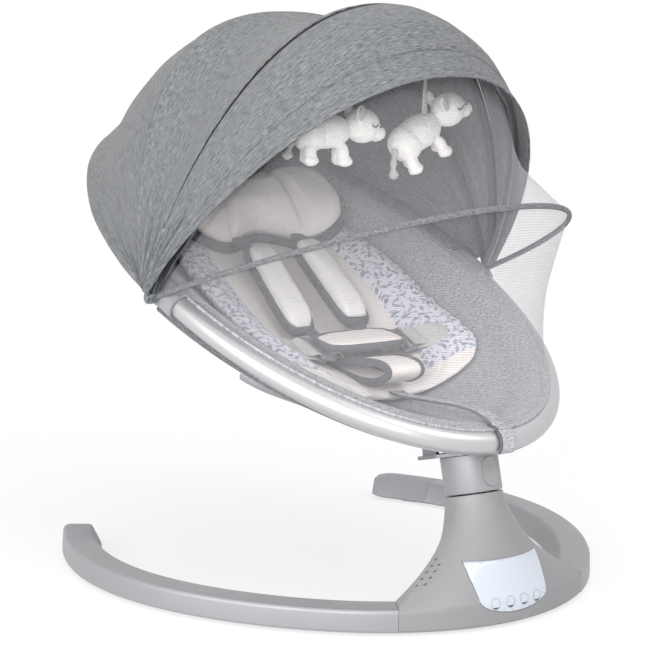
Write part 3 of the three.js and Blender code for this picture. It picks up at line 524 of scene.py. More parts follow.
# ------------------------------------------------------------------ padding by cloth pressure
@dataclass
class Pad:
    """A stuffed shape that cloth pressure swells from its sewn blank."""

    piece: Piece
    voxel: float
    reach: float
    lift_only: bool = False
    smoothing: int = 2
    pressure: float = 4.0
    blank: list[Vector] = field(default_factory=list)

    def prepare(self) -> None:
        """Remeshes the blank evenly and hangs the cloth on it."""
        evened(self.piece, self.voxel)
        baked(self.piece)
        self.blank = [vert.co.copy() for vert in self.piece.data.vertices]
        cloth = self.piece.modifiers.new("cloth", "CLOTH")
        cloth.settings.use_pressure = True
        cloth.settings.uniform_pressure_force = self.pressure
        cloth.settings.effector_weights.gravity = 0
        cloth.settings.quality = 4
        cloth.point_cache.frame_start, cloth.point_cache.frame_end = 1, SWELL_FRAMES

    def settle(self) -> None:
        """Keeps the swollen shape, with no point further than reach from where it was sewn."""
        baked(self.piece)
        for vert, start in zip(self.piece.data.vertices, self.blank):
            step = vert.co - start
            if self.lift_only:
                step -= SEAT.above() * min(0.0, step.dot(SEAT.above()))
            if step.length > self.reach:
                step = step.normalized() * self.reach
            vert.co = start + step
        softened(self.piece, self.smoothing)
        finer = self.piece.modifiers.new("finer", "SUBSURF")
        finer.levels = finer.render_levels = 1
        flat_uv(smooth(baked(self.piece)))


def swell(pads: Sequence[Pad]) -> None:
    """Swells all pads together, frame by frame, and keeps the result."""
    for pad in pads:
        pad.prepare()
    for number in range(1, SWELL_FRAMES + 1):
        bpy.context.scene.frame_set(number)
    for pad in pads:
        pad.settle()
    bpy.context.scene.frame_set(1)


# ------------------------------------------------------------------ node graphs
class Graph:
    """Short calls that fill a node tree."""

    def __init__(self, tree: Tree) -> None:
        """Takes the tree to fill."""
        self.tree = tree

    def add(self, kind: str, sockets: Optional[dict] = None, **settings: object) -> Node:
        """Adds a node.

        Args:
            kind: The node's type, without the ShaderNode in front.
            sockets: Values or sockets for its inputs, by name or number.
            settings: The node's own properties.

        Returns:
            The new node.
        """
        node = self.tree.nodes.new("ShaderNode" + kind)
        for key, value in settings.items():
            setattr(node, key, value)
        for key, value in (sockets or {}).items():
            self.put(node.inputs[key], value)
        return node

    def put(self, socket: Socket, value: object) -> None:
        """Links a socket to the value if that is one too, or sets it."""
        if isinstance(value, Socket):
            self.tree.links.new(value, socket)
        else:
            socket.default_value = value

    def fill(self, node: Node, **sockets: object) -> Node:
        """Sets or links a node's inputs; underscores in their names stand for spaces."""
        for key, value in sockets.items():
            self.put(node.inputs[key.replace("_", " ")], value)
        return node

    def math(self, operation: str, a: object, b: object = 0.0) -> Socket:
        """The result of one sum on numbers or sockets."""
        return self.add("Math", {0: a, 1: b}, operation=operation).outputs[0]

    times = partialmethod(math, "MULTIPLY")
    over = partialmethod(math, "DIVIDE")
    plus = partialmethod(math, "ADD")
    minus = partialmethod(math, "SUBTRACT")

    def vector(self, operation: str, a: object, b: object = (0, 0, 0)) -> Socket:
        """The result of one sum on vectors."""
        sum_node = self.add("VectorMath", {0: a, 1: b}, operation=operation)
        return sum_node.outputs["Value" if operation == "LENGTH" else "Vector"]

    def cloth(self) -> Socket:
        """The place on the cloth's flat map."""
        return self.add("UVMap", uv_map="cloth").outputs[0]

    def spot(self) -> Socket:
        """The place on the piece."""
        return self.add("TexCoord").outputs["Object"]

    def divided(self, vector: Socket, size: Socket) -> Socket:
        """A vector divided by a size."""
        sockets = {0: vector, "Scale": self.over(1.0, size)}
        return self.add("VectorMath", sockets, operation="SCALE").outputs["Vector"]

    def blend(self, share: object, a: object, b: object) -> Socket:
        """Colour a turned into colour b by a share."""
        return self.add("Mix", {0: share, 6: a, 7: b}, data_type="RGBA").outputs[2]

    def span(self, value: Socket, low: float, high: float, to_low: float = 0.0,
             to_high: float = 1.0) -> Socket:
        """value carried from one range to another, and held at its ends."""
        return self.add("MapRange", {0: value, 1: low, 2: high, 3: to_low, 4: to_high}).outputs[0]

    def mottle(self, value: Socket, low: float = 0.0, high: float = 1.0) -> Socket:
        """A noise value with its usual range, 0.3 to 0.7, carried to low and high."""
        return self.span(value, 0.3, 0.7, low, high)

    def noise(self, vector: Socket, scale: float, detail: float = 2.0,
              rough: float = 0.5) -> Socket:
        """A noise value over vector."""
        sockets = {"Vector": vector, "Scale": scale, "Detail": detail, "Roughness": rough}
        return self.add("TexNoise", sockets).outputs["Fac"]

    def group(self, tree: Tree, **sockets: object) -> Sequence[Socket]:
        """Places a node group, fills its inputs and gives its outputs."""
        node = self.tree.nodes.new("ShaderNodeGroup")
        node.node_tree = tree
        return self.fill(node, **sockets).outputs


def new_group(name: str, inputs: dict[str, float | None],
              outputs: Sequence[str]) -> tuple[Graph, Socket, Socket]:
    """Starts a node group.

    Args:
        name: The group's name.
        inputs: Input names with their usual value, or None for a vector.
        outputs: Names of the values that it puts out.

    Returns:
        The graph, its input sockets and its output sockets.
    """
    tree = bpy.data.node_groups.new(name, "ShaderNodeTree")
    for label, usual in inputs.items():
        kind = "NodeSocketVector" if usual is None else "NodeSocketFloat"
        made = tree.interface.new_socket(label, in_out="INPUT", socket_type=kind)
        if usual is not None:
            made.default_value = usual
    for label in outputs:
        tree.interface.new_socket(label, in_out="OUTPUT", socket_type="NodeSocketFloat")
    start, end = tree.nodes.new("NodeGroupInput"), tree.nodes.new("NodeGroupOutput")
    return Graph(tree), start.outputs, end.inputs


class Effects:
    """The shader groups that several finishes share."""

    def __init__(self) -> None:
        """Builds every group once."""
        self.grain = self.make_grain()
        self.streaks = self.make_streaks()
        self.weave = self.make_weave()
        self.sprigs = self.make_sprigs()
        self.mesh = self.make_mesh()

    @staticmethod
    def make_grain() -> Tree:
        """Fine moulded or painted grain, with a broad uneven mask."""
        g, given, out = new_group("grain", {"Vector": None, "Size": 0.001}, ["Height", "Mask"])
        fine = g.divided(given["Vector"], given["Size"])
        g.put(out["Height"], g.noise(fine, 1.0, 3.0, 0.6))
        g.put(out["Mask"], g.noise(given["Vector"], 14.0, 3.0, 0.55))
        return g.tree

    @staticmethod
    def make_streaks() -> Tree:
        """Long light and dark yarns of a melange cloth, running along the map's second axis."""
        g, given, out = new_group(
            "streaks", {"Vector": None, "Length": 0.012, "Width": 0.001}, ["Mask", "Height"])
        parts = g.add("SeparateXYZ", {0: given["Vector"]}).outputs

        def yarn(length: Socket, width: Socket, spread: float) -> Socket:
            run = g.over(parts[1], g.times(length, spread))
            over = g.over(parts[0], g.times(width, spread))
            return g.add("CombineXYZ", {0: over, 1: run}).outputs[0]

        long_yarn = g.noise(yarn(given["Length"], given["Width"], 1.0), 1.0, 3.0, 0.6)
        broad = g.noise(yarn(given["Length"], given["Width"], 4.5), 1.0, 2.0, 0.5)
        cross = g.noise(yarn(given["Width"], given["Length"], 1.3), 1.0, 2.0, 0.5)
        mixed = g.plus(g.times(long_yarn, 0.72), g.times(broad, 0.12))
        mixed = g.plus(mixed, g.times(cross, 0.16))
        g.put(out["Mask"], g.span(mixed, 0.38, 0.62))
        g.put(out["Height"], g.plus(long_yarn, cross))
        return g.tree

    @staticmethod
    def make_weave() -> Tree:
        """Plain weave: crossing rows of yarn."""
        g, given, out = new_group("weave", {"Vector": None, "Thread": 0.001}, ["Height"])
        parts = g.add("SeparateXYZ", {0: given["Vector"]}).outputs
        pitch = g.over(pi, given["Thread"])
        rows = [g.math("SINE", g.times(parts[axis], pitch)) for axis in (0, 1)]
        g.put(out["Height"], g.times(rows[0], rows[1]))
        return g.tree

    @staticmethod
    def make_sprigs() -> Tree:
        """Scattered pointed leaves, each turned its own way, with a pale rib."""
        usual = {"Vector": None, "Spacing": 0.01, "Long": 0.009, "Wide": 0.003}
        g, given, out = new_group("sprigs", usual, ["Mask", "Tone"])
        spread = g.divided(given["Vector"], given["Spacing"])
        cell = g.add("TexVoronoi", {"Vector": spread, "Scale": 1.0, "Randomness": 0.8},
                     voronoi_dimensions="2D")
        chance = g.add("SeparateColor", {0: cell.outputs["Color"]}).outputs
        turned = g.add("VectorRotate", {
            "Vector": spread, "Center": cell.outputs["Position"],
            "Angle": g.times(chance[0], 2 * pi)}, rotation_type="Z_AXIS").outputs[0]
        away = g.vector("SUBTRACT", turned, cell.outputs["Position"])
        local = g.add("SeparateXYZ", {0: away}).outputs
        half = [g.over(g.times(given[side], 0.5), given["Spacing"]) for side in ("Long", "Wide")]
        x = g.over(local[0], half[0])
        y = g.math("ABSOLUTE", g.over(local[1], half[1]))
        inside = g.minus(g.minus(1.0, g.times(x, x)), y)
        leaf = g.span(inside, -0.06, 0.10)
        rib = g.span(y, 0.08, 0.24, 0.45, 1.0)
        g.put(out["Mask"], g.times(leaf, rib))
        g.put(out["Tone"], g.span(chance[1], 0.0, 1.0, 0.55, 1.0))
        return g.tree

    @staticmethod
    def make_mesh() -> Tree:
        """Fine netting: how much of each spot is thread, with faint ribs."""
        usual = {"Vector": None, "Rib": 0.0032, "Open": 0.6}
        g, given, out = new_group("netting", usual, ["Cover"])
        parts = g.add("SeparateXYZ", {0: given["Vector"]}).outputs
        rib = g.math("SINE", g.times(parts[0], g.over(2 * pi, given["Rib"])))
        uneven = g.noise(given["Vector"], 60.0, 2.0, 0.5)
        cover = g.minus(1.0, given["Open"])
        cover = g.plus(cover, g.times(rib, 0.055))
        g.put(out["Cover"], g.plus(cover, g.mottle(uneven, -0.01, 0.01)))
        return g.tree


class Coat(Enum):
    """How a rigid surface is finished."""

    PLASTIC = 0.0
    PAINT = 0.35
    SATIN = 0.6
    METAL = 0.85


def new_look(name: str) -> tuple[Look, Graph, Node]:
    """An empty material with its graph and its Principled shader."""
    look = bpy.data.materials.new(name)
    look.use_nodes = True
    look.node_tree.nodes.clear()
    g = Graph(look.node_tree)
    shader = g.add("BsdfPrincipled")
    g.add("OutputMaterial", {"Surface": shader.outputs[0]})
    return look, g, shader


def bumped(g: Graph, height: Socket, strength: float, depth: float) -> Socket:
    """A normal from a height, with depth in metres."""
    return g.add("Bump", {"Height": height, "Strength": strength, "Distance": depth}).outputs[0]


@dataclass(frozen=True)
class Finish:
    """The settings of a material; each kind fills the shader in its own way."""

    name: str

    def fill(self, g: Graph, shader: Node, fx: Effects) -> None:
        """Sets and links the shader's inputs."""

    def material(self, fx: Effects) -> Look:
        """Builds the material."""
        look, g, shader = new_look(self.name)
        self.fill(g, shader, fx)
        return look


@dataclass(frozen=True)
class RigidFinish(Finish):
    """Moulded plastic, paint or metal with a fine grain and slightly uneven gloss."""

    tint: str
    coat: Coat
    roughness: float = 0.45
    grain: float = 0.0009
    depth: float = 0.00004

    def fill(self, g: Graph, shader: Node, fx: Effects) -> None:
        """Sets and links the shader's inputs."""
        spot = g.spot()
        grain = g.group(fx.grain, Vector=spot, Size=self.grain)
        base = colour(self.tint)
        darker = tuple(c * 0.93 for c in base[:3]) + (1.0,)
        g.fill(shader, Base_Color=g.blend(grain["Mask"], base, darker),
               Roughness=g.mottle(grain["Mask"], self.roughness - 0.04, self.roughness + 0.05),
               Metallic=self.coat.value,
               Normal=bumped(g, grain["Height"], 0.35, self.depth))


@dataclass(frozen=True)
class MelangeCloth(Finish):
    """Woven cloth of light and dark yarns that run in short streaks."""

    dark: str
    light: str
    length: float = 0.014
    width: float = 0.0011
    depth: float = 0.0004
    thread: float = 0.0011

    def fill(self, g: Graph, shader: Node, fx: Effects) -> None:
        """Sets and links the shader's inputs."""
        spot = g.cloth()
        yarn = g.group(fx.streaks, Vector=spot, Length=self.length, Width=self.width)
        weave = g.group(fx.weave, Vector=spot, Thread=self.thread)
        tone = g.blend(yarn["Mask"], colour(self.dark), colour(self.light))
        height = g.plus(yarn["Height"], g.times(weave["Height"], 0.25))
        g.fill(shader, Base_Color=tone, Roughness=0.95, Sheen_Weight=0.12, Sheen_Roughness=0.5,
               Specular_IOR_Level=0.15, Normal=bumped(g, height, 0.5, self.depth))


@dataclass(frozen=True)
class SoftCloth(Finish):
    """Plain knitted or brushed cloth with a faint weave and a soft, uneven tone."""

    tint: str
    shade: str
    thread: float = 0.0012
    depth: float = 0.00025
    sheen: float = 0.25

    def fill(self, g: Graph, shader: Node, fx: Effects) -> None:
        """Sets and links the shader's inputs."""
        spot = g.cloth()
        grain = g.group(fx.grain, Vector=spot, Size=self.thread)
        weave = g.group(fx.weave, Vector=spot, Thread=self.thread)
        tone = g.blend(g.mottle(grain["Height"]), colour(self.shade), colour(self.tint))
        height = g.plus(grain["Height"], g.times(weave["Height"], 0.3))
        g.fill(shader, Base_Color=tone, Roughness=0.92, Sheen_Weight=self.sheen,
               Sheen_Roughness=0.45, Specular_IOR_Level=0.15,
               Normal=bumped(g, height, 0.5, self.depth))


@dataclass(frozen=True)
class PlushPile(Finish):
    """Short, soft pile of a stuffed toy."""

    tint: str
    shade: str
    tuft: float = 0.0022

    def fill(self, g: Graph, shader: Node, fx: Effects) -> None:
        """Sets and links the shader's inputs."""
        spot = g.spot()
        grain = g.group(fx.grain, Vector=spot, Size=self.tuft)
        share = g.span(grain["Height"], 0.25, 0.75)
        tone = g.blend(share, colour(self.shade), colour(self.tint))
        g.fill(shader, Base_Color=tone, Roughness=1.0,
               Sheen_Weight=0.5, Sheen_Roughness=0.35, Specular_IOR_Level=0.1,
               Normal=bumped(g, grain["Height"], 0.8, 0.0009))


@dataclass(frozen=True)
class Netting(Finish):
    """Fine see-through mosquito mesh."""

    tint: str
    open_share: float = 0.905
    slant: float = 0.13
    shade: float = 0.12

    def fill(self, g: Graph, shader: Node, fx: Effects) -> None:
        """Sets and links the shader's inputs."""
        spot = g.cloth()
        netting = g.group(fx.mesh, Vector=spot, Open=self.open_share)
        shadow = g.add("LightPath").outputs["Is Shadow Ray"]
        thinner = g.minus(1.0, g.times(shadow, 1 - self.shade))
        facing = g.add("LayerWeight", {"Blend": 0.5}).outputs["Facing"]
        slanted = g.times(g.times(facing, facing), self.slant)
        g.fill(shader, Base_Color=colour(self.tint), Roughness=0.8, Specular_IOR_Level=0.2,
               Alpha=g.times(g.plus(netting["Cover"], slanted), thinner))


@dataclass(frozen=True)
class InsertCloth(Finish):
    """The seat insert's cover: a brushed pale middle and leaf-printed wings at both sides."""

    middle: str
    middle_shade: str
    ground: str
    leaf: str
    wing_from: float = 0.088
    wing_low: float = -0.148

    def fill(self, g: Graph, shader: Node, fx: Effects) -> None:
        """Sets and links the shader's inputs."""
        spot = g.cloth()
        parts = g.add("SeparateXYZ", {0: spot}).outputs
        along = g.minus(parts[1], 0.015)
        edge = g.minus(self.wing_from, g.times(g.times(along, along), 1.1))
        beyond = g.minus(g.math("ABSOLUTE", parts[0]), edge)
        wing = g.times(g.math("GREATER_THAN", beyond, 0.0),
                      g.math("GREATER_THAN", parts[1], self.wing_low))
        large = g.group(fx.sprigs, Vector=spot, Spacing=0.0105, Long=0.0105, Wide=0.0036)
        turned = g.add("Mapping", {
            "Vector": spot, "Location": (0.31, 0.17, 0), "Rotation": (0, 0, 0.9)}).outputs[0]
        small = g.group(fx.sprigs, Vector=turned, Spacing=0.0078, Long=0.0062, Wide=0.0019)
        leaf = g.math("MAXIMUM", g.times(large["Mask"], large["Tone"]),
                      g.times(small["Mask"], small["Tone"]))
        grain = g.group(fx.grain, Vector=spot, Size=0.0011)
        share = g.mottle(grain["Height"])
        soft = g.blend(share, colour(self.middle_shade), colour(self.middle))
        printed = g.blend(leaf, colour(self.ground), colour(self.leaf))
        g.fill(shader, Base_Color=g.blend(wing, soft, printed), Roughness=0.92, Sheen_Weight=0.25,
               Sheen_Roughness=0.45, Specular_IOR_Level=0.15,
               Normal=bumped(g, grain["Height"], 0.5, 0.0002))


@dataclass(frozen=True)
class PanelGlass(Finish):
    """Glossy white touch panel."""

    tint: str

    def fill(self, g: Graph, shader: Node, fx: Effects) -> None:
        """Sets and links the shader's inputs."""
        spot = g.spot()
        grain = g.group(fx.grain, Vector=spot, Size=0.02)
        base = colour(self.tint)
        cooler = (base[0] * 0.985, base[1] * 0.99, base[2], 1.0)
        g.fill(shader, Base_Color=g.blend(grain["Mask"], base, cooler),
               Roughness=g.mottle(grain["Mask"], 0.1, 0.14),
               Coat_Weight=0.25, Coat_Roughness=0.05)


class Finishes:
    """Every material of the swing, by its use."""

    def __init__(self) -> None:
        """Builds the materials over the shared effects."""
        fx = Effects()

        def look(kind: type[Finish], name: str, *settings: object) -> Look:
            return kind(f"{name}_finish", *settings).material(fx)

        self.satin = look(RigidFinish, "satin_tube", "b8b8ba", Coat.SATIN, 0.37, 0.0006, 0.00002)
        self.silver = look(RigidFinish, "silver_paint", "949497", Coat.PAINT, 0.42, 0.0008)
        self.shell = look(RigidFinish, "shell_grey", "868688", Coat.PLASTIC, 0.42, 0.0010)
        self.cap = look(RigidFinish, "cap_grey", "8f9094", Coat.PLASTIC, 0.5, 0.0010)
        self.button = look(RigidFinish, "button", "99989a", Coat.PAINT, 0.4, 0.0008)
        self.rubber = look(RigidFinish, "rubber", "55534f", Coat.PLASTIC, 0.85, 0.0012, 0.0001)
        self.steel = look(RigidFinish, "steel", "8d9094", Coat.METAL, 0.35, 0.0006)
        self.black = look(RigidFinish, "black_plastic", "2e2e30", Coat.PLASTIC, 0.5)
        self.copper = look(RigidFinish, "copper", "9a5a34", Coat.METAL, 0.4)
        self.board = look(RigidFinish, "board", "2f5d46", Coat.PLASTIC, 0.5)
        self.buckle = look(RigidFinish, "buckle", "7b7c7e", Coat.PLASTIC, 0.45)
        self.print_grey = look(RigidFinish, "panel_print", "85868d", Coat.PLASTIC, 0.4)
        self.print_dark = look(RigidFinish, "panel_mark", "48494f", Coat.PLASTIC, 0.4)
        self.eye = look(RigidFinish, "stitched_eye", "4a494b", Coat.PLASTIC, 0.6)
        self.panel = look(PanelGlass, "gloss_panel", "bac0c8")
        self.melange = look(MelangeCloth, "melange_fabric", "3c3e40", "8a8c8e", 0.010, 0.0005)
        self.melange_dark = look(MelangeCloth, "melange_inside", "444547", "7a7c7e", 0.008, 0.0007)
        self.bow_cover = look(MelangeCloth, "bow_cover", "3f4042", "8a8b8f", 0.003, 0.0008)
        self.liner = look(MelangeCloth, "liner_fabric", "7c7d81", "c0c1c4", 0.0040, 0.0009, 0.0003)
        self.piping = look(SoftCloth, "piping_fabric", "6c6d71", "505155", 0.0012)
        self.cream = look(SoftCloth, "cream_fabric", "f4edea", "e2d9d6")
        self.white_pad = look(SoftCloth, "white_pad", "f3efee", "e6e1e0")
        self.webbing = look(SoftCloth, "webbing", "d3d0ce", "a8a5a3", 0.0018, 0.0006, 0.1)
        self.plush = look(PlushPile, "plush", "f4f2ef", "e2dfdb")
        self.plush_grey = look(PlushPile, "plush_grey", "b9b8b8", "a2a1a1")
        self.net = look(Netting, "net", "b4b4b8")
        self.insert = look(InsertCloth, "insert_cloth", "f2eae7", "e6dedb", "dcdbe5", "74757f")


# ------------------------------------------------------------------ floor base
@dataclass
class FloorBase:
    """The C-shaped base: two bent bars that leave the pedestal, their end caps and rubber feet."""

    looks: Finishes
    radius: float = 0.270
    oval: float = 0.012
    square: float = 0.0045
    floor_gap: float = 0.003
    height: float = 0.023
    outer: float = 0.023
    inner: float = 0.021
    ledge: float = 0.009
    pedestal_end: float = 0.41
    cap_start: float = 1.96
    cap_end: float = 2.24
    post_y: float = -0.2394

    def plan(self, phi: float) -> Vector:
        """A point on the centre line; phi runs from the front, positive to the right."""
        reach = self.radius + self.oval * cos(2 * phi) + self.square * cos(4 * phi)
        shift = joint("swing")["pos_m"][1] - self.post_y
        return Vector((reach * sin(phi), shift - reach * cos(phi), 0))

    def station(self, phi: float) -> Matrix:
        """The frame across the centre line: x outwards, y up."""
        run = self.plan(phi + 1e-4) - self.plan(phi - 1e-4)
        return frame_at(self.plan(phi), Vector((run.y, -run.x, 0)), Vector((0, 0, 1)))

    def corners(self) -> list[tuple[float, float, float]]:
        """The bar's section: x, y and the radius of each corner."""
        low, high = self.floor_gap, self.floor_gap + self.height
        return [(-self.inner, low, 0.003), (self.outer, low, 0.003),
                (self.outer - 0.001, high, 0.0048), (-self.ledge, high, 0.0048)]

    def section(self, scale: float = 1.0) -> list[tuple[float, float]]:
        """The outline with its corners rounded, shrunk about its middle."""
        marks = [Vector(corner[:2]) for corner in self.corners()]
        outline: list[tuple[float, float]] = []
        for i, mark in enumerate(marks):
            before = (marks[i - 1] - mark).normalized()
            after = (marks[(i + 1) % 4] - mark).normalized()
            reach = self.corners()[i][2] / tan(before.angle(after) / 2)
            for step in range(7):
                f = step / 6
                spot = mark + before * reach * (1 - f) ** 2 + after * reach * f ** 2
                outline.append((spot.x, spot.y))
        middle = Vector((0.001, self.floor_gap + self.height / 2))
        return [tuple(middle + (Vector(spot) - middle) * scale) for spot in outline]

    def bar(self, start: float, end: float, steps: int, shrink: Callable[[float], float]) -> Mesh:
        """A stretch of the bar from one angle to another, its section scaled by shrink(share)."""
        count = len(self.section())
        outlines: dict[float, list] = {}

        def outline(s: float, t: float) -> tuple[float, float]:
            key = round(t, 6)
            if key not in outlines:
                outlines[key] = self.section(shrink(t))
            return outlines[key][round(s * count) % count]

        return swept(lambda t: self.station(lerp(start, end, t)), outline, steps, count)

    def build(self) -> None:
        """Makes both arms and caps and dresses the feet."""
        gap = 0.0003 / self.radius
        arm = self.bar(self.pedestal_end + gap, self.cap_start - gap, 96, lambda t: 1.0)
        cap = self.bar(self.cap_start, self.cap_end, 28,
                       lambda t: 1.0 - 0.22 * max(0.0, (t - 0.72) / 0.28) ** 2.4)
        sides = ("left", mirrored(arm), mirrored(cap)), ("right", arm, cap)
        for side, arm_mesh, cap_mesh in sides:
            made(f"{side}_arm_bar", arm_mesh, "base", self.looks.silver, "silver_paint",
                 f"{side}_arm_tube", sharp=50)
            made(f"{side}_cap_shell", cap_mesh, "base", self.looks.cap, "cap_grey",
                 f"{side}_end_cap", sharp=42)
            repaint(self.looks.rubber, *(f"{side}_{end}_foot" for end in ("front", "side", "rear")))


# ------------------------------------------------------------------ pedestal
@dataclass
class Pedestal:
    """The flared housing on the front of the base, with its touch panel and speaker holes."""

    looks: Finishes
    base: FloorBase
    neck: float = 0.029
    front_flare: float = 1.75
    rear_flare: float = 2.7
    rear_bulge: float = 0.034
    panel_top: float = 0.064
    panel_half: float = 0.048
    top_rounding: float = 0.004
    foot_rounding: float = 0.003
    foot_share: float = 0.22  # the share of the surface's rows that the upright foot takes
    neck_turns: tuple[int, ...] = (76, 104, 256, 284)  # where the foot's corners meet the neck

    def reach(self, height: float, phi: float, sign: int) -> float:
        """How far a level of the foot reaches outwards (sign 1) or inwards (sign -1)."""
        base = self.base
        f = min(1.0, height / base.height)
        to_end = abs(phi / base.pedestal_end) ** 3
        round_top = self.top_rounding * max(0.0, (f - 0.78) / 0.22) ** 2 * to_end
        round_foot = self.foot_rounding * max(0.0, 1 - f / 0.13) ** 2
        if sign > 0:
            return base.outer - 0.001 * f - round_top - round_foot
        bulge = self.rear_bulge * cos(pi / 2 * phi / base.pedestal_end) ** 2
        foot = lerp(base.inner, lerp(base.inner, base.ledge, f), to_end)
        return foot - round_top - round_foot + bulge

    def outline(self, s: float) -> tuple[float, int, float, float]:
        """The angle, side, share across an end and neck angle at a share of the way round."""
        part = (s % 1.0) * 4
        side, f = int(part), part - int(part)
        end = self.base.pedestal_end
        a, b, c, d = self.neck_turns
        spans = ((lerp(-end, end, f), 1, 0.0, lerp(-a, a, f)), (end, 0, f, lerp(a, b, f)),
                 (lerp(end, -end, f), -1, 0.0, lerp(b, c, f)), (-end, 0, 1 - f, lerp(c, d, f)))
        return spans[min(side, 3)]

    def surface(self, s: float, t: float, inset: float = 0.0) -> Vector:
        """A point on the housing: s runs round it, t from the floor to the neck."""
        base, foot_share = self.base, self.foot_share
        phi, side, across, turn = self.outline(s)
        height = base.height * min(1.0, t / foot_share)
        outer = self.reach(height, phi, 1) - inset
        inner = -self.reach(height, phi, -1) + inset
        x = outer if side > 0 else inner if side < 0 else lerp(outer, inner, across)
        low = base.station(phi) @ Vector((x, base.floor_gap + height, 0))
        if t <= foot_share:
            return low
        f = (t - foot_share) / (1 - foot_share)
        radius, angle = self.neck - inset, radians(turn)
        high = POST.point(radius * sin(angle), -radius * cos(angle), 0)
        front = cos(phi / base.pedestal_end * pi / 2) if side > 0 else 0.0
        rear = 0.0 if side > 0 else 1.0 if side < 0 else across
        spread = (1 - f) ** lerp(lerp(self.front_flare, 1.0, front), self.rear_flare, rear)
        return Vector((lerp(high.x, low.x, spread), lerp(high.y, low.y, spread),
                       lerp(low.z, high.z, f)))

    def body(self, inset: float = 0.0) -> Mesh:
        """The housing's closed outer form, moved inwards by inset."""
        return closed(160, 72, lambda s, t: self.surface(s, t, inset))

    def panel_outline(self, grow: float) -> list[tuple[float, float]]:
        """The touch panel's outline in x and z: a flat top, sloping sides and a round foot."""
        half, top = self.panel_half, self.panel_top
        foot = [((half - 0.0035) * cos(pi * k / 24), 0.030 - 0.0155 * sin(pi * k / 24))
                for k in range(25)]
        bend = (half * 0.99, 0.052)
        outline = [(-half, top), (-bend[0], bend[1]), *reversed(foot), bend, (half, top)]
        middle = Vector((0, 0.042))
        grown = []
        for x, z in outline:
            away = Vector((x, z)) - middle
            grown.append(tuple(middle + away * (1 + grow / away.length)))
        return grown

    def on_front(self, tree: BVHTree, x: float, z: float, lift: float) -> Vector:
        """The point of the housing's front at x and z, lifted off it."""
        start = Vector((x, PACKED_BOX[0].y - 0.05, z))
        hit, normal, _, _ = tree.ray_cast(start, Vector((0, 1, 0)))
        return hit + normal * lift

    def panel_skin(self, tree: BVHTree) -> Mesh:
        """The touch panel as a thin plate that follows the housing's front."""
        bm = bmesh.new()
        outline = self.panel_outline(-0.0004)
        face = bm.faces.new([bm.verts.new((x, 0, z)) for x, z in outline])
        bmesh.ops.triangulate(bm, faces=[face])
        bmesh.ops.subdivide_edges(bm, edges=bm.edges, cuts=3, use_grid_fill=True)
        longer = [edge for edge in bm.edges if edge.calc_length() > 0.004]
        bmesh.ops.subdivide_edges(bm, edges=longer, cuts=2)
        bmesh.ops.triangulate(bm, faces=bm.faces)
        for vert in bm.verts:
            vert.co = self.on_front(tree, vert.co.x, vert.co.z, 0.0002)
        return bm

    def build(self) -> None:
        """Makes the housing with its panel and holes, and dresses what is inside."""
        solid = self.body()
        tree = BVHTree.FromBMesh(solid)
        shell = to_object("pedestal_housing", solid, 30)
        front, depth = -0.34, 0.14  # the block that cuts the recess, from in front of the housing
        outline = [(x, front, z) for x, z in self.panel_outline(0.0004)]
        recess = to_object("panel_recess", extruded(outline, (0, depth, 0)))
        carved(recess, self.body(0.0014))
        cutter = bmesh.new()
        cutter.from_mesh(recess.data)
        bpy.data.objects.remove(recess)
        carved(shell, cutter)
        carved(shell, self.speaker_holes())
        shell.data.set_sharp_from_angle(angle=radians(28))
        dress(shell, "base", (self.looks.shell,), "shell_grey", "pedestal_shell")
        panel = walled(to_object("touch_panel_glass", self.panel_skin(tree), 60), 0.0011)
        dress(panel, "base", (self.looks.panel,), "gloss_panel", "touch_panel")
        self.marks(tree)
        repaint(self.looks.shell, "bottom_cover", "bearing_housing")
        repaint(self.looks.board, "control_board")
        repaint(self.looks.black, "speaker", "power_inlet", "drive_magnet")
        repaint(self.looks.copper, "drive_coil")
        repaint(self.looks.steel, "lower_bearing", "upper_bearing", "swing_shaft", "button_spring")

    def speaker_holes(self) -> Mesh:
        """The slanted band of small drillings through the left flank."""
        drills, bore, pitch, slant = [], 0.0011, 0.0052, (0.0012, 0.0016)
        shift = joint("swing")["pos_m"][1] - self.base.post_y
        for row in range(5):
            for column in range(3):
                if not 0 < row + column < 6:
                    continue
                spot = Vector((-0.070, shift - 0.258 - pitch * column + slant[0] * row,
                               0.041 + pitch * row + slant[1] * column))
                bm = bmesh.new()
                lying = Matrix.Translation(spot) @ Matrix.Rotation(pi / 2, 4, "Y")
                bmesh.ops.create_cone(bm, cap_ends=True, segments=12, radius1=bore, radius2=bore,
                                      depth=0.08, matrix=lying)
                drills.append(bm)
        return joined(drills)

    def marks(self, tree: BVHTree) -> None:
        """Four plain ring marks on the panel, each with a darker lower segment."""
        rings, segments = [], []
        pitch, height = 0.0182, 0.0245
        for number in range(4):
            x = (number - 1.5) * pitch
            rings.append(self.ring_mark(tree, x, height, 0.0056, 0.00018))
            segments.append(self.segment_mark(tree, x, height, 0.0050))
        made("panel_ring_marks", joined(rings), "base", self.looks.print_grey, "gloss_panel")
        made("panel_level_marks", joined(segments), "base", self.looks.print_dark, "gloss_panel")

    def ring_mark(self, tree: BVHTree, x: float, z: float, radius: float, thin: float) -> Mesh:
        """A fine printed line round (x, z)."""
        def place(s: float, t: float) -> Vector:
            turn = 2 * pi * t
            grown = radius + thin * cos(2 * pi * s)
            lift = 0.00035 + 0.00012 * sin(2 * pi * s)
            return self.on_front(tree, x + grown * cos(turn) * 0.92, z + grown * sin(turn), lift)
        return outward(laid(6, 40, place))

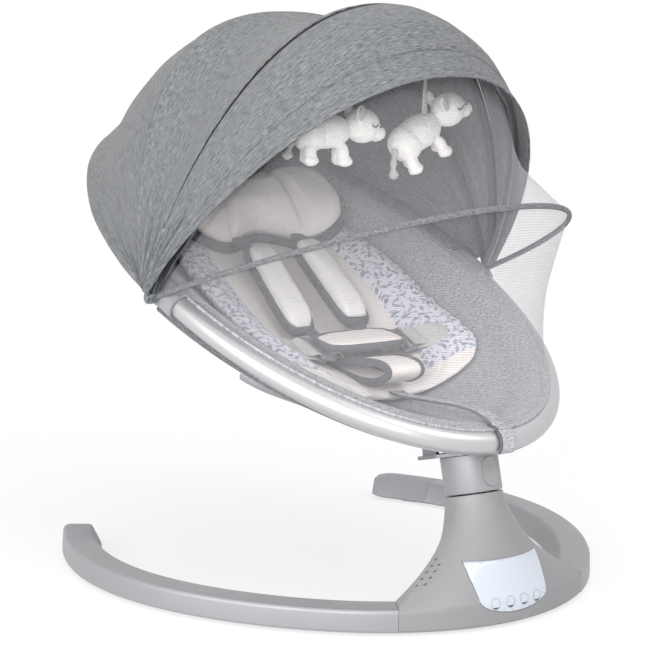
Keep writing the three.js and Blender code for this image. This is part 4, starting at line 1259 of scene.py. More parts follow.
    def segment_mark(self, tree: BVHTree, x: float, z: float, radius: float) -> Mesh:
        """The filled lower part of a ring mark."""
        def place(s: float, t: float) -> Vector:
            turn = pi * lerp(1.2, 1.8, t)
            low = z + radius * sin(turn)
            high = lerp(z + radius * sin(pi * 1.2), low, 0.15)
            lift = 0.00030 + 0.00012 * sin(pi * s)
            return self.on_front(tree, x + radius * cos(turn) * 0.92, lerp(low, high, s), lift)
        bm = laid(6, 24, place)
        bmesh.ops.reverse_faces(bm, faces=bm.faces)
        return bm


# ------------------------------------------------------------------ swing post
@dataclass
class SwingPost:
    """The turning collar above the pedestal and its release button."""

    looks: Finishes
    radius: float = 0.029
    low: float = 0.0014
    high: float = 0.0396
    wall: float = 0.003
    button_up: float = 0.0205
    button_radius: float = 0.009
    button_straight: float = 0.0055
    proud: float = 0.0016  # how far the button stands off the collar
    dish_up: float = 0.0082
    dish_radius: float = 0.024
    dish_depth: float = 0.0018

    def stadium(self, grow: float) -> list[tuple[float, float]]:
        """The button's outline in x and up."""
        reach = self.button_radius + grow
        top = [(reach * cos(pi * k / 20), self.button_straight + reach * sin(pi * k / 20))
               for k in range(21)]
        return top + [(-x, -up) for x, up in top]

    def build(self) -> None:
        """Makes the collar and the button."""
        base = frame_at(POST.point(0, 0, 0), Vector((1, 0, 0)), POST.back())
        r, wall = self.radius, self.wall
        low, high = self.low, self.high
        profile = [(r - wall, low), (r - 0.0012, low), (r - 0.0004, low + 0.0004),
                   (r, low + 0.0014), (r, high - 0.0008), (r - 0.0006, high), (r - wall, high)]
        collar = to_object("collar_sleeve", outward(spun(profile, base, 96)), 30)
        rim = [POST.point(x, -0.012, self.button_up + up) for x, up in self.stadium(0.0003)]
        carved(collar, extruded(rim, POST.back() * -0.03))
        collar.data.set_sharp_from_angle(angle=radians(30))
        dress(collar, "swing_head", (self.looks.silver,), "satin_tube", "neck_collar")
        made("release_button_cap", self.button(), "button", self.looks.button, "cap_grey",
             "release_button", sharp=35)

    def button(self) -> Mesh:
        """The button: a stadium whose face has a finger dish above and below its middle."""
        count = len(self.stadium(0))
        face, dish = self.radius + self.proud, self.dish_radius

        def place(s: float, t: float) -> Vector:
            rim = self.stadium(0)[round(s * count) % count]
            f = min(1.0, (1 - t) / 0.8)
            x, up = rim[0] * f, rim[1] * f
            bulge = sqrt(face ** 2 - x ** 2)
            if t < 0.2:
                return POST.point(x, -lerp(0.020, bulge - 0.0004, t / 0.2), self.button_up + up)
            front = bulge - 0.0004 * ease(0.94, 1.0, f)
            for centre in (self.dish_up, -self.dish_up):
                away = min(0.0239, abs(up - centre))
                front = min(front, face + dish - self.dish_depth - sqrt(dish ** 2 - away ** 2))
            return POST.point(x, -front, self.button_up + up)

        return closed(count, 30, place)


# ------------------------------------------------------------------ seat frame
@dataclass
class SeatFrame:
    """The oval tube ring, the fork under it, and the hubs that carry the bows."""

    looks: Finishes
    fork_half_width: float = 0.180
    fork_half_length: float = 0.292
    fork_drop: float = 0.022
    fork_tube: float = 0.008
    fork_turns: tuple[int, int] = (206, 334)  # the degrees round the ring that it spans

    @staticmethod
    def ring_station(turn: float, grow: float = 0.0, w: float = 0.0) -> Matrix:
        """The frame across the ring: x outwards, y out of the ring's plane."""
        return across(lambda f: SEAT.ring(f, grow, w), turn)

    def fork_station(self, share: float) -> Matrix:
        """The frame across the fork tube."""
        def line(f: float) -> Vector:
            turn = radians(lerp(*self.fork_turns, f))
            rise = ease(0.72, 1.0, abs(2 * f - 1))
            half_width = lerp(self.fork_half_width, SEAT.half_width - 0.006, rise)
            half_length = lerp(self.fork_half_length, SEAT.half_length - 0.008, rise)
            return SEAT.point(half_width * cos(turn), half_length * sin(turn),
                              -lerp(self.fork_drop, 0.0204, rise))
        return across(line, share)

    def build(self) -> None:
        """Makes the ring and the fork and dresses the hubs, pins and bracket."""
        hub = asin(SEAT.hub_v / SEAT.half_length)
        gap = radians(0.5)
        start, end = pi - hub + gap, 2 * pi + hub - gap
        ring = swept(lambda t: self.ring_station(lerp(start, end, t)), round_section(SEAT.tube),
                     150, 36)
        made("ring_front_bar", ring, "seat", self.looks.satin, "satin_tube", "ring_front_tube",
             sharp=50)
        fork = swept(self.fork_station, round_section(self.fork_tube), 120, 24)
        made("fork_bar", fork, "seat", self.looks.silver, "silver_paint", "seat_fork", sharp=50)
        repaint(self.looks.steel, "ring_rear_tube", "recline_pin", "left_canopy_pin",
                "right_canopy_pin")
        repaint(self.looks.black, "seat_bracket")
        repaint(self.looks.cap, "left_canopy_hub", "right_canopy_hub")


# ------------------------------------------------------------------ canopy
@dataclass
class Canopy:
    """The hood: three cloth panels and a visor over the bows, with a zip along the middle seam."""

    looks: Finishes
    half_width: float = 0.2335
    clear: float = 0.0054
    cloth: float = 0.0014
    first: float = 0.05
    arch: float = 0.84  # from pivot to pivot over the hood, along the cloth
    gathers: tuple[float, float] = (0.0034, 0.0016)  # coarse and fine pleats at the hubs
    unevenness: tuple[float, float] = (0.0022, 0.0009)  # broad and small, over the whole cloth
    seam_in: float = 0.006  # from a panel's edge to its sewn line
    seam_width: float = 0.004
    seam_rise: float = 0.0016

    def edge(self, bow: Bow, turn: float) -> Bow:
        """The cloth's line over a bow, turned by that many degrees."""
        return replace(bow, angle=bow.angle + turn)

    def dome(self, tau: float, a: Bow, b: Bow, s: float, out: float) -> Vector:
        """A point of the panel between two edges, moved outwards by out."""
        angle, height, shape = [lerp(x, y, s) for x, y in (
            (a.angle, b.angle), (a.height, b.height), (a.shape, b.shape))]
        lift = self.clear + out
        return SEAT.dome(tau, radians(angle), height + lift, shape, self.half_width + out)

    def tau(self, t: float) -> float:
        """The arch angle at a share of the way over."""
        return lerp(self.first, pi - self.first, t)

    def folds(self, tau: float, s: float, seed: float) -> float:
        """Gathers that fan out of both hubs, and a soft unevenness over the whole cloth."""
        low = min(tau, pi - tau)
        gather = hump(low, 0.10, 0.36)
        side = 1.0 if tau < pi / 2 else -1.0
        pleats = sin(2 * pi * (3.2 * s + seed) + 2.2 * side * low)
        finer = sin(2 * pi * (6.1 * s + 1.7 * seed) - 3.1 * low)
        soft = soft_noise(s * 3.1 + seed * 9, tau * 2.6, seed * 5)
        small = soft_noise(s * 9.0 + seed * 4, tau * 7.5, seed * 11)
        coarse, fine = self.gathers
        broad, slight = self.unevenness
        return gather * (coarse * pleats + fine * finer) + broad * soft + slight * small

    @staticmethod
    def shoulder(tau: float, s: float) -> float:
        """How far the cloth stands off the rear bow's shoulders, a share s away from it."""
        return 0.006 * hump(abs(tau - pi / 2), 0.55, 0.33) * (1 - s) ** 3

    def panel(self, name: str, a: Bow, b: Bow, bulge: float, seed: float, wide: float,
              columns: int = 48) -> Piece:
        """A cloth panel between two edges.

        Args:
            name: The piece's name.
            a: The rear edge.
            b: The front edge.
            bulge: How far the panel stands out, or in if negative, half way between.
            seed: Varies the folds.
            wide: Flat width between the edges at the top.
            columns: Faces between the edges.
        """
        def place(s: float, t: float) -> Vector:
            tau = self.tau(t)
            free = sin(pi * s) ** 0.7
            puff = bulge * sin(pi * s) * sin(tau) ** 1.4
            puff += self.shoulder(tau, s) if a.angle > 120 else 0.0
            seams = (self.seam_in, wide - self.seam_in)
            channel = self.seam_rise * sum(hump(s * wide, at, self.seam_width) for at in seams)
            return self.dome(tau, a, b, s, puff + free * self.folds(tau, s, seed) + channel)
        piece = to_object(name, laid(columns, 150, place, (wide, self.arch)), 80)
        return walled(piece, self.cloth)

    def rear_place(self, s: float, t: float) -> Vector:
        """A point of the rear panel, from the rear bow down to the ring's sleeve."""
        tau = self.tau(t)
        top = SEAT.dome(tau, radians(REAR_BOW.angle), REAR_BOW.height + self.clear, REAR_BOW.shape,
                        self.half_width)
        hub = asin(SEAT.hub_v / SEAT.half_length)
        turn = lerp(hub, pi - hub, tau / pi)
        foot = SEAT.ring(turn, 0.0178, 0.005)
        spot = top.lerp(foot, s)
        away = (spot - SEAT.point(0, SEAT.hub_v + 0.06, 0)).normalized()
        free = sin(pi * s) ** 0.7
        puff = (0.010 * sin(pi * s) - 0.008 * hump(s, 0.75, 0.22)) * sin(tau) ** 0.6
        puff += 0.004 * hump(s, 0.22, 0.2) * sin(tau) + self.shoulder(tau, s)
        channel = 0.0012 * hump(s * 0.26, 0.006, 0.004) + 0.001 * hump(s * 0.26, 0.252, 0.005)
        return spot + away * (puff + free * self.folds(tau, s, 0.83) + channel)

    def build(self) -> None:
        """Makes the panels, the visor, the zip and its pull, and dresses the bows."""
        looks, seat_middle = self.looks, SEAT.point(0, SEAT.half_length, 0)
        cloth = (looks.melange,)
        rear = to_object("canopy_rear_cloth", laid(56, 150, self.rear_place, (0.26, self.arch)), 80)
        dress(walled(rear, self.cloth), None, cloth, "melange_fabric", "canopy_rear_panel")
        tops = [SEAT.part_way(bow.point(pi / 2)) for bow in (REAR_BOW, MIDDLE_BOW, FRONT_BOW)]
        SEAT.part_way(seat_middle)
        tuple(tops[0])
        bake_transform(rear)
        middle = self.panel("canopy_middle_cloth", self.edge(REAR_BOW, -0.25),
                            self.edge(MIDDLE_BOW, 0.9), -0.026, 0.31, 0.155)
        dress(middle, None, cloth, "melange_fabric", "canopy_middle_panel")
        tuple(tops[0])
        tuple(tops[1])
        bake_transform(middle)
        front = self.panel("canopy_front_cloth", self.edge(MIDDLE_BOW, -0.3), FRONT_BOW,
                           0.008, 0.57, 0.092, 32)
        dress(front, None, cloth, "melange_fabric", "canopy_front_panel")
        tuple(tops[1])
        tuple(tops[2])
        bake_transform(front)
        visor = dress(self.visor(), "front_bow", cloth, "melange_fabric", "canopy_visor")
        self.zip()
        repaint(looks.steel, "rear_bow", "middle_bow", "front_bow")

    def visor(self) -> Piece:
        """The stiff front brim with its turned hem."""
        wide = 0.042

        def place(s: float, t: float) -> Vector:
            tau = self.tau(t)
            hem = 0.0011 * ease(wide - 0.009, wide - 0.0075, s * wide)
            hem -= 0.0006 * hump(s * wide, wide - 0.0092, 0.0011)
            fold = sin(pi * min(1.0, s * 1.15)) ** 0.7 * self.folds(tau, s, 0.12)
            return self.dome(tau, FRONT_BOW, VISOR_EDGE, s, hem + 0.7 * fold)
        piece = to_object("canopy_visor_cloth", laid(30, 150, place, (wide, self.arch)), 80)
        return walled(piece, self.cloth)

    def zip(self) -> None:
        """The dark zip in the middle seam, with a pull at its left end."""
        edge = self.edge(MIDDLE_BOW, 0.3)

        def station(t: float) -> Matrix:
            tau = self.tau(t)
            spot = self.dome(tau, edge, edge, 0, -0.0006)
            ahead = self.dome(tau + 1e-3, edge, edge, 0, -0.0006)
            away = (spot - SEAT.point(0, SEAT.hub_v, 0.05)).normalized()
            return frame_at(spot, (ahead - spot).cross(away), away)
        tape = swept(station, round_section(0.0026, 0.0007), 150, 10, (0.01, self.arch))
        made("canopy_zip", tape, "middle_bow", self.looks.black, "melange_fabric")
        low = station(0.915)
        pull = block((0.0042, 0.0020, 0.013), low @ Matrix.Translation((0, 0.0028, -0.004)), 0.0009)
        made("zip_pull", outward(pull), "middle_bow", self.looks.steel, "steel", sharp=40)


# ------------------------------------------------------------------ insect net
@dataclass
class InsectNet:
    """The covered net bow and the two nets it spreads."""

    looks: Finishes
    first: float = 0.10
    arch: float = 0.80  # from pivot to pivot over the nets, along them
    ripple: float = 0.0025

    def top(self, tau: float) -> Vector:
        """The upper net's edge inside the front bow."""
        return FRONT_BOW.point(tau, -4, -0.008, -0.008)

    def middle(self, tau: float, turn: float) -> Vector:
        """An edge of either net inside the net bow."""
        return NET_BOW.point(tau, turn, -0.0025, -0.004)

    def foot(self, tau: float) -> Vector:
        """The lower net's hem inside the ring."""
        hub = asin(SEAT.hub_v / SEAT.half_length)
        return SEAT.ring(lerp(hub, -pi - hub, tau / pi), -0.009, 0.0155)

    def net(self, name: str, upper: Line, lower: Line, sag: float, wide: float) -> Piece:
        """A net that sags inwards between two edges."""
        inside = SEAT.point(0, SEAT.hub_v, 0)

        def place(s: float, t: float) -> Vector:
            tau = lerp(self.first, pi - self.first, t)
            spot = upper(tau).lerp(lower(tau), s)
            ripple = self.ripple * soft_noise(tau * 4, s * 1.5, wide * 9)
            pull = (sag + ripple) * sin(pi * s) * sin(tau)
            return spot + (inside - spot).normalized() * pull
        piece = to_object(name, laid(40, 120, place, (wide, self.arch)), 80)
        return walled(piece, 0.0005)

    def build(self) -> None:
        """Makes both nets and the cloth that covers their bow."""
        upper = self.net("net_upper_mesh", self.top, lambda tau: self.middle(tau, 0.6), 0.016, 0.22)
        dress(upper, None, (self.looks.net,), "net", "net_upper")
        ends = [SEAT.part_way(place) for place in (self.top(pi / 2), self.middle(pi / 2, 0.6))]
        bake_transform(upper)
        lower = self.net("net_lower_mesh", lambda tau: self.middle(tau, -0.6), self.foot,
                         0.014, 0.26)
        dress(lower, "net_bow", (self.looks.net,), "net", "net_lower")
        cover = swept(self.station, round_section(0.0030, 0.0026), 150, 14, (0.02, self.arch))
        made("net_bow_cover", cover, "net_bow", self.looks.bow_cover, "melange_fabric", "net_bow")

    def station(self, t: float) -> Matrix:
        """The frame across the net bow: x round the dome, y outwards."""
        tau = lerp(0.012, pi - 0.012, t)
        spot, ahead = NET_BOW.point(tau), NET_BOW.point(tau + 1e-3)
        angle = radians(NET_BOW.angle)
        out = SEAT.along() * -cos(angle) + SEAT.above() * sin(angle)
        over = out.cross(Vector((1, 0, 0)))
        return frame_at(spot, over, over.cross(ahead - spot))


# ------------------------------------------------------------------ seat cloth
@dataclass
class SeatCloth:
    """The hammock inside the ring, the sleeve round the head half and the hem under it."""

    looks: Finishes
    depth: float = 0.085
    low_v: float = -0.060
    edge: float = 0.0175
    lip: float = 0.84  # the share of the mesh that is the hammock; the rest wraps the ring
    wrap_radius: float = 0.0143
    wrap_low: float = 0.0115
    wrap_ends: tuple[float, float] = (-0.0020, -0.0105)  # how far over the ring: foot, head
    rim_rise: float = 0.0105

    def level(self, u: float, v: float) -> float:
        """The hammock's level w under u and v."""
        half_width, half_length = SEAT.half_width - self.edge, SEAT.half_length - self.edge
        reach = half_length + (self.low_v if v < self.low_v else -self.low_v)
        lengthwise = 1 - min(1.0, abs(v - self.low_v) / reach) ** 1.5
        wide = half_width * sqrt(max(1e-9, 1 - (v / half_length) ** 2))
        crosswise = max(0.0, 1 - (u / wide) ** 2) ** 1.3
        return -self.depth * lengthwise * crosswise

    def place(self, s: float, t: float) -> Vector:
        """A point of the hammock: s from the middle to the lip, t round."""
        turn = 2 * pi * t
        rho = min(1.0, s / self.lip)
        half_width, half_length = SEAT.half_width - self.edge, SEAT.half_length - self.edge
        u = half_width * rho * cos(turn)
        v = lerp(self.low_v, 0, rho) + half_length * rho * sin(turn)
        w = self.level(u, v) + 0.001
        soft = soft_noise(u * 26, v * 17, 3.0) + 0.5 * soft_noise(u * 60, v * 38, 7.0)
        w += 0.0016 * soft * sin(pi * rho) ** 0.5
        w += 0.0015 * hump(rho, 0.93, 0.012) + self.rim_rise * ease(0.84, 0.98, rho)
        if s <= self.lip:
            return SEAT.point(u, v, w)
        end = lerp(*self.wrap_ends, ease(-0.06, 0.06, sin(turn)))
        over = lerp(-self.edge, end, (s - self.lip) / (1 - self.lip))
        level = sqrt(max(0.0, self.wrap_radius ** 2 - over ** 2))
        return SEAT.ring(turn, over, max(self.wrap_low, level))

    def build(self) -> None:
        """Makes the hammock, the sleeve and the hem strips."""
        size = 2 * (SEAT.half_width - self.edge)
        sling = to_object("seat_hammock", laid(60, 180, self.place, (size, 1.7)), 80)
        walled(flat_uv(sling), 0.0024, lining=True)
        dress(sling, "seat", (self.looks.liner, self.looks.melange_dark), "liner_fabric",
              "seat_sling")
        sleeve = swept(lambda t: SeatFrame.ring_station(radians(lerp(1.5, 178.5, t))),
                       self.sleeve_section, 170, 32, (0.09, 0.86))
        made("ring_sleeve", sleeve, "seat", self.looks.melange, "melange_fabric", "rim_sleeve")
        strips = [swept(lambda t, side=side: self.hem_station(t, side), self.hem_section,
                        60, 12, (0.03, 0.3)) for side in (-1, 1)]
        made("ring_hem", joined(strips), "seat", self.looks.melange_dark, "melange_fabric")

    @staticmethod
    def sleeve_section(s: float, t: float) -> tuple[float, float]:
        """The sleeve's slightly crumpled outline."""
        turn = 2 * pi * s
        soft = soft_noise(cos(turn) * 1.5, sin(turn) * 1.5, t * 34)
        radius = 0.0148 + 0.0007 * soft
        return radius * cos(turn), radius * sin(turn)

    @staticmethod
    def hem_station(t: float, side: int) -> Matrix:
        """The frame along the hem, from a hub towards the foot end."""
        turn = radians(lerp(184, 236, t))
        turn = turn if side < 0 else pi - turn
        return SeatFrame.ring_station(turn, 0.0015, -0.0125 + 0.002 * t)

    @staticmethod
    def hem_section(s: float, t: float) -> tuple[float, float]:
        """The hem's soft roll, which thins towards its end."""
        turn, thin = 2 * pi * s, 1 - 0.75 * t
        return 0.0105 * thin * cos(turn), 0.0062 * thin * sin(turn)


# ------------------------------------------------------------------ insert and pillow
@dataclass
class Insert:
    """The padded seat insert with printed wings, and the head pillow on it."""

    looks: Finishes
    cloth: SeatCloth
    half_width: float = 0.142
    half_length: float = 0.192
    front_length: float = 0.180
    middle_v: float = -0.004
    thick: float = 0.026
    wing: float = 0.014
    clear: float = 0.0040  # from the hammock's level to the pad's underside
    rim: float = 0.007  # the pad's thickness at its rim
    seam_depth: float = 0.0030
    piping_depth: float = 0.0012

    def top(self, u: float, v: float) -> float:
        """The padding's upper level w."""
        r = min(1.0, hypot(u / self.half_width, (v - self.middle_v) / self.half_length))
        return self.cloth.level(u, v) + 0.0036 + self.thick + self.wing * r * r

    @staticmethod
    def hollow(u: float, v: float) -> float:
        """How far the middle of the seat and the thin front flap lie below the full padding."""
        seat = 0.011 * ease(0.03, -0.08, v) * (1 - ease(0.070, 0.115, abs(u)))
        return seat + 0.008 * ease(-0.115, -0.175, v)

    def outline(self, v: float) -> tuple[float, float]:
        """The outline's exponent and half length on the head or the foot side of the middle."""
        return (2.5, self.half_length) if v > 0 else (4.0, self.front_length)

    def surface(self, u: float, v: float) -> float:
        """The upper level w of the soft pad, which thins towards its rim."""
        exponent, length = self.outline(v - self.middle_v)
        sides = abs(u / self.half_width), abs((v - self.middle_v) / length)
        rho = sum(side ** exponent for side in sides) ** (1 / exponent)
        under = self.cloth.level(u, v) + self.clear
        full = max(under + 0.006, self.top(u, v) - 0.003 - self.hollow(u, v))
        return lerp(under + self.rim, full, max(0.0, 1 - rho ** 2.2) ** 0.75)

    def blank(self, s: float, t: float) -> Vector:
        """The sewn blank: s from the middle over the rim to the underside, t round."""
        turn, rho = 2 * pi * t, (1 - abs(2 * s - 1)) * 0.985
        exponent, length = self.outline(sin(turn))
        u = 1.04 * self.half_width * rho * power(cos(turn), 2 / exponent)
        v = self.middle_v + length * rho * power(sin(turn), 2 / exponent)
        under = self.cloth.level(u, v) + self.clear
        return SEAT.point(u, v, under if s > 0.5 else self.surface(u, v))

    def pad(self) -> Pad:
        """The insert before it is swollen."""
        piece = to_object("insert_pad", outward(laid(72, 128, self.blank)), 80)
        return Pad(piece, 0.0048, 0.004, lift_only=True, smoothing=8)

    def seam(self, spot: Vector) -> float:
        """How deep the sewn lines press at a place in seat coordinates."""
        edge = 0.088 - 1.1 * (spot.y - 0.015) ** 2
        side = hump(abs(spot.x), edge, 0.0024) * ease(-0.150, -0.140, spot.y)
        r = hypot(spot.x / self.half_width, (spot.y - self.middle_v) / self.half_length)
        piping = hump(r, 0.93, 0.012)
        return self.seam_depth * side + self.piping_depth * piping

    def finish(self, piece: Piece) -> None:
        """Presses the seams into the insert and dresses it."""
        def move(place: Vector, normal: Vector) -> Vector:
            spot = SEAT.read(place)
            up = max(0.0, normal.dot(SEAT.above()))
            soft = 0.0008 * crumple(place, 0.02) + 0.0010 * crumple(place, 0.05)
            return normal * (soft - self.seam(spot)) * up
        shifted(piece, move)
        dress(piece, "seat", (self.looks.insert,), "cream_fabric", "seat_insert")


@dataclass(frozen=True)
class PadShape:
    """The blank of a pad that lies on the insert: a rounded outline between two levels."""

    name: str
    u: float
    v: float
    half_width: float
    half_length: float
    exponent: float
    under: Callable[[float, float], float]
    over: Callable[[float, float], float]
    scallop: float = 0.0
    lean: float = 0.0

    def rim(self, turn: float, share: float = 1.0) -> tuple[float, float]:
        """A place u and v on the outline, or a share of the way out to it."""
        x = self.half_width * share * power(cos(turn), 2 / self.exponent)
        y = self.half_length * share * power(sin(turn), 2 / self.exponent)
        if y < 0:
            y *= 1 - self.scallop * hump(x / self.half_width, 0, 0.38)
        return self.u + x + self.lean * y, self.v + y

    def blank(self) -> Piece:
        """Makes the sewn blank."""
        def place(s: float, t: float) -> Vector:
            rho = 1 - abs(2 * s - 1)
            u, v = self.rim(2 * pi * t, rho)
            low, high = self.under(u, v), self.over(u, v)
            middle = lerp(low, high, 0.38)
            if s > 0.5:
                return SEAT.point(u, v, lerp(low, middle, rho ** 4))
            return SEAT.point(u, v, lerp(middle, high, sqrt(max(0.0, 1 - rho ** 4))))
        return to_object(self.name, outward(laid(40, 96, place)), 80)

    def binding(self, wide: float, tall: float, rise: float, start: float = 0,
                end: float = 360) -> Mesh:
        """A soft roll sewn along the outline.

        Args:
            wide: Half its width in the seat's plane.
            tall: Half its height out of that plane.
            rise: Its level, as a share of the way from the pad's lower to its upper face.
            start: The outline angle in degrees where it begins.
            end: The outline angle where it ends.

        Returns:
            The closed roll.
        """
        def line(f: float) -> Vector:
            u, v = self.rim(radians(lerp(start, end, f)))
            return SEAT.point(u, v, lerp(self.under(u, v), self.over(u, v), rise))
        return swept(lambda t: across(line, t), round_section(wide, tall), 160, 12, (0.02, 0.3))


@dataclass
class HeadPillow:
    """The three-part head pillow with a grey band along its wavy lower edge."""

    looks: Finishes
    insert: Insert
    channel: float = 0.0140  # how deep each of the two channels is sewn
    channel_width: float = 0.0055

    def shape(self) -> PadShape:
        """The pillow's outline and levels."""
        return PadShape(
            "head_pillow_pad", 0, 0.135, 0.111, 0.052, 3.4,
            lambda u, v: self.insert.surface(u, v) + 0.001,
            lambda u, v: self.insert.top(u, v) + 0.035, 0.60)

    def pad(self) -> Pad:
        """The pillow before it is swollen."""
        return Pad(self.shape().blank(), 0.0035, 0.006, lift_only=True)

    def finish(self, piece: Piece) -> None:
        """Sews the two channels, dresses the pillow and adds its band."""
        def move(place: Vector, normal: Vector) -> Vector:
            spot = SEAT.read(place)
            lean = 0.045 - 0.10 * (spot.y - 0.134)
            channel = self.channel * hump(abs(spot.x), lean, self.channel_width)
            up = max(0.0, normal.dot(SEAT.above()))
            return normal * (0.0008 * crumple(place, 0.018) - channel) * up
        shifted(piece, move)
        dress(piece, "seat", (self.looks.cream,), "cream_fabric", "head_pillow")
        band = self.shape().binding(0.0060, 0.0046, 0.18, 172, 368)
        made("pillow_band", band, "seat", self.looks.piping, "piping_fabric")


# ------------------------------------------------------------------ harness
@dataclass
class Harness:
    """Shoulder pads, crotch cover and loop, buckle, waist webbing and the foot strap."""

    looks: Finishes
    insert: Insert

    @staticmethod
    def shoulder_level(v: float) -> float:
        """The shoulder pads' underside."""
        return lerp(-0.041, -0.014, (v + 0.053) / 0.120)

    def shapes(self) -> list[PadShape]:
        """The left and right shoulder pad and the crotch cover."""
        level, cover = self.shoulder_level, lambda v: self.insert.top(0, v)
        made = [PadShape(f"{side}_shoulder_front", u, v, 0.0178, 0.0610, 5,
                         lambda u, v: level(v) + 0.001, lambda u, v: level(v) + 0.0190, lean=lean)
                for side, u, v, lean in (
                    ("left", -0.038, 0.008, 0.085), ("right", 0.035, 0.012, 0.0))]
        return made + [PadShape("crotch_cover_pad", -0.004, -0.101, 0.051, 0.0225, 4,
                                lambda u, v: cover(v) + 0.018, lambda u, v: cover(v) + 0.030)]

    def pads(self) -> list[Pad]:
        """The harness's padded pieces before they are swollen."""
        return [Pad(shape.blank(), 0.0026, 0.0035) for shape in self.shapes()]

    def finish(self, pieces: Sequence[Piece]) -> None:
        """Dresses the swollen pads and adds the parts that aren't swollen.

        Args:
            pieces: The pads in the order that pads gave them.
        """
        looks, shapes = self.looks, self.shapes()
        for shape, front, side in zip(shapes, pieces, ("left", "right")):
            shifted(front, lambda place, normal: normal * 0.0008 * crumple(place, 0.016))
            dress(front, "seat", (looks.white_pad,), "plush", f"{side}_shoulder_pad")
            # the strap under each pad takes the dark piping grey: painted shadow beside the pad
            trim = joined([shape.binding(0.0036, 0.0056, 0.10), self.strap_and_painted_shadow(shape.u)])
            made(f"{side}_shoulder_binding", trim, "seat", looks.piping, "piping_fabric")
        cover = pieces[2]
        shifted(cover, lambda place, normal: normal * 0.0008 * crumple(place, 0.012))
        dress(cover, "seat", (looks.cream,), "cream_fabric", "crotch_cover")
        edge = shapes[2].binding(0.0034, 0.0042, 0.38)
        made("crotch_cover_binding", edge, "seat", looks.piping, "piping_fabric")
        self.loop()
        self.waist()
        self.buckle()
        self.foot_strap()

    def strap_and_painted_shadow(self, u: float) -> Mesh:
        """The shoulder strap from under the pillow through a pad down to the buckle, made in the
        dark piping grey as painted shadow along the pad's side.
        """
        sign = copysign(1.0, u)
        marks = [(0.042, 0.096, -0.010), (0.038, 0.070, -0.0125), (0.035, 0.0, -0.024),
                 (0.035, -0.050, -0.037), (0.026, -0.076, -0.043), (0.016, -0.094, -0.0435)]

        def line(f: float) -> Vector:
            spot = min(max(f, 0.0), 0.9999) * (len(marks) - 1)
            i = int(spot)
            out, v, w = [lerp(a, b, spot - i) for a, b in zip(marks[i], marks[i + 1])]
            return SEAT.point(sign * out, v, w)
        return swept(lambda t: across(line, t, 0.02), round_section(0.0090, 0.0014),
                     60, 16, (0.02, 0.2))

    def loop(self) -> None:
        """The crotch strap: a padded band bent into a long teardrop, bound in grey."""
        middle_v, half_length, half_height = -0.133, 0.047, 0.0165

        def line(turn: float) -> tuple[float, float]:
            v = middle_v - half_length * cos(turn)
            plump = half_height * sin(turn) * (0.5 + 0.5 * cos(turn)) ** 0.7
            return v, lerp(-0.061, -0.013, (-0.086 - v) / 0.094) + plump

        def out(turn: float) -> Vector:
            run = Vector(line(turn + 1e-3)) - Vector(line(turn - 1e-3))
            return Vector((-run.y, run.x)).normalized() if run.length > 1e-7 else Vector((1, 0))

        def band(u: float, half: float, thick: float, chords: int) -> Mesh:
            def place(s: float, t: float) -> Vector:
                turn, ring = 2 * pi * (t + 0.5), 2 * pi * s
                (v, w), away = line(turn), out(turn)
                lift = thick * power(sin(ring), 0.6) + 0.0006 * soft_noise(u * 30, v * 60, w * 60)
                beside = u + half * power(cos(ring), 0.4)
                return SEAT.point(beside, v + away.x * lift, w + away.y * lift)
            return outward(laid(chords, 96, place, (0.14, 0.24)))
        piece = made("crotch_loop", band(-0.006, 0.0215, 0.0030, 32), "seat", self.looks.cream,
                     "cream_fabric", "crotch_roll")
        edges = joined([band(u, 0.0024, 0.0041, 12) for u in (-0.0280, 0.0160)])
        made("crotch_loop_binding", edges, "seat", self.looks.piping, "piping_fabric")

    def rest(self, u: float) -> float:
        """Where the waist webbing lies: at the buckle's height, then on the wing further out."""
        buckle, wing = self.insert.top(u, -0.1) + 0.004, self.insert.surface(u, -0.1) + 0.003
        return lerp(buckle, wing, ease(0.03, 0.09, u))

    def waist(self) -> None:
        """Both waist webbings, each from a wing through its slide to the buckle."""
        for side, sign in (("left", -1), ("right", 1)):
            def ribbon(inner: float, outer: float, half: float, lift: float, arch: float,
                       lean: float, sign: int = sign) -> Mesh:
                def place(s: float, t: float) -> Vector:
                    u, ring = lerp(inner, outer, t), 2 * pi * s
                    level = self.rest(u) + lift + arch * sin(pi * t)
                    v = -0.100 + lean * (t - 0.3) + half * power(cos(ring), 0.35)
                    curl = 0.0014 * sin(9 * t + 2) * cos(ring)
                    return SEAT.point(sign * u, v, level + curl + 0.0009 * power(sin(ring), 0.7))
                return closed(24, 60, place, (0.05, 0.11))
            strap = joined([ribbon(0.026, 0.060, 0.0095, 0.004, 0.002, 0.0),
                            ribbon(0.054, 0.110, 0.0165, 0.000, 0.006, -0.012),
                            ribbon(0.056, 0.086, 0.0155, 0.004, 0.007, 0.004)])
            made(f"{side}_waist_webbing", strap, "seat", self.looks.webbing, "webbing",
                 f"{side}_waist_strap", sharp=50)
            slide = frame_at(SEAT.point(sign * 0.056, -0.100, self.rest(0.056) + 0.007),
                             Vector((1, 0, 0.25 * sign)), SEAT.along())
            bars = [block((0.0036, 0.036, 0.0042), slide @ Matrix.Translation((x, 0, 0)), 0.0014)
                    for x in (-0.0075, 0.0, 0.0075)]
            bars += [block((0.019, 0.0042, 0.0046), slide @ Matrix.Translation((0, y, 0)), 0.0014)
                     for y in (-0.0175, 0.0175)]
            made(f"{side}_strap_slide", outward(joined(bars)), "seat", self.looks.buckle,
                 "black_plastic", sharp=40)

    def buckle(self) -> None:
        """The buckle under the crotch cover."""
        v = -0.104
        spot = SEAT.point(0, v, self.insert.top(0, v) + 0.0075)
        base = frame_at(spot, Vector((1, 0, 0)), SEAT.along())
        shell = block((0.043, 0.029, 0.0105), base, 0.003, 4)
        press = block((0.016, 0.014, 0.003), base @ Matrix.Translation((0, 0, 0.0052)), 0.0014, 3)
        made("buckle_shell", outward(joined([shell, press])), "seat", self.looks.buckle,
             "black_plastic", "harness_buckle", sharp=40)

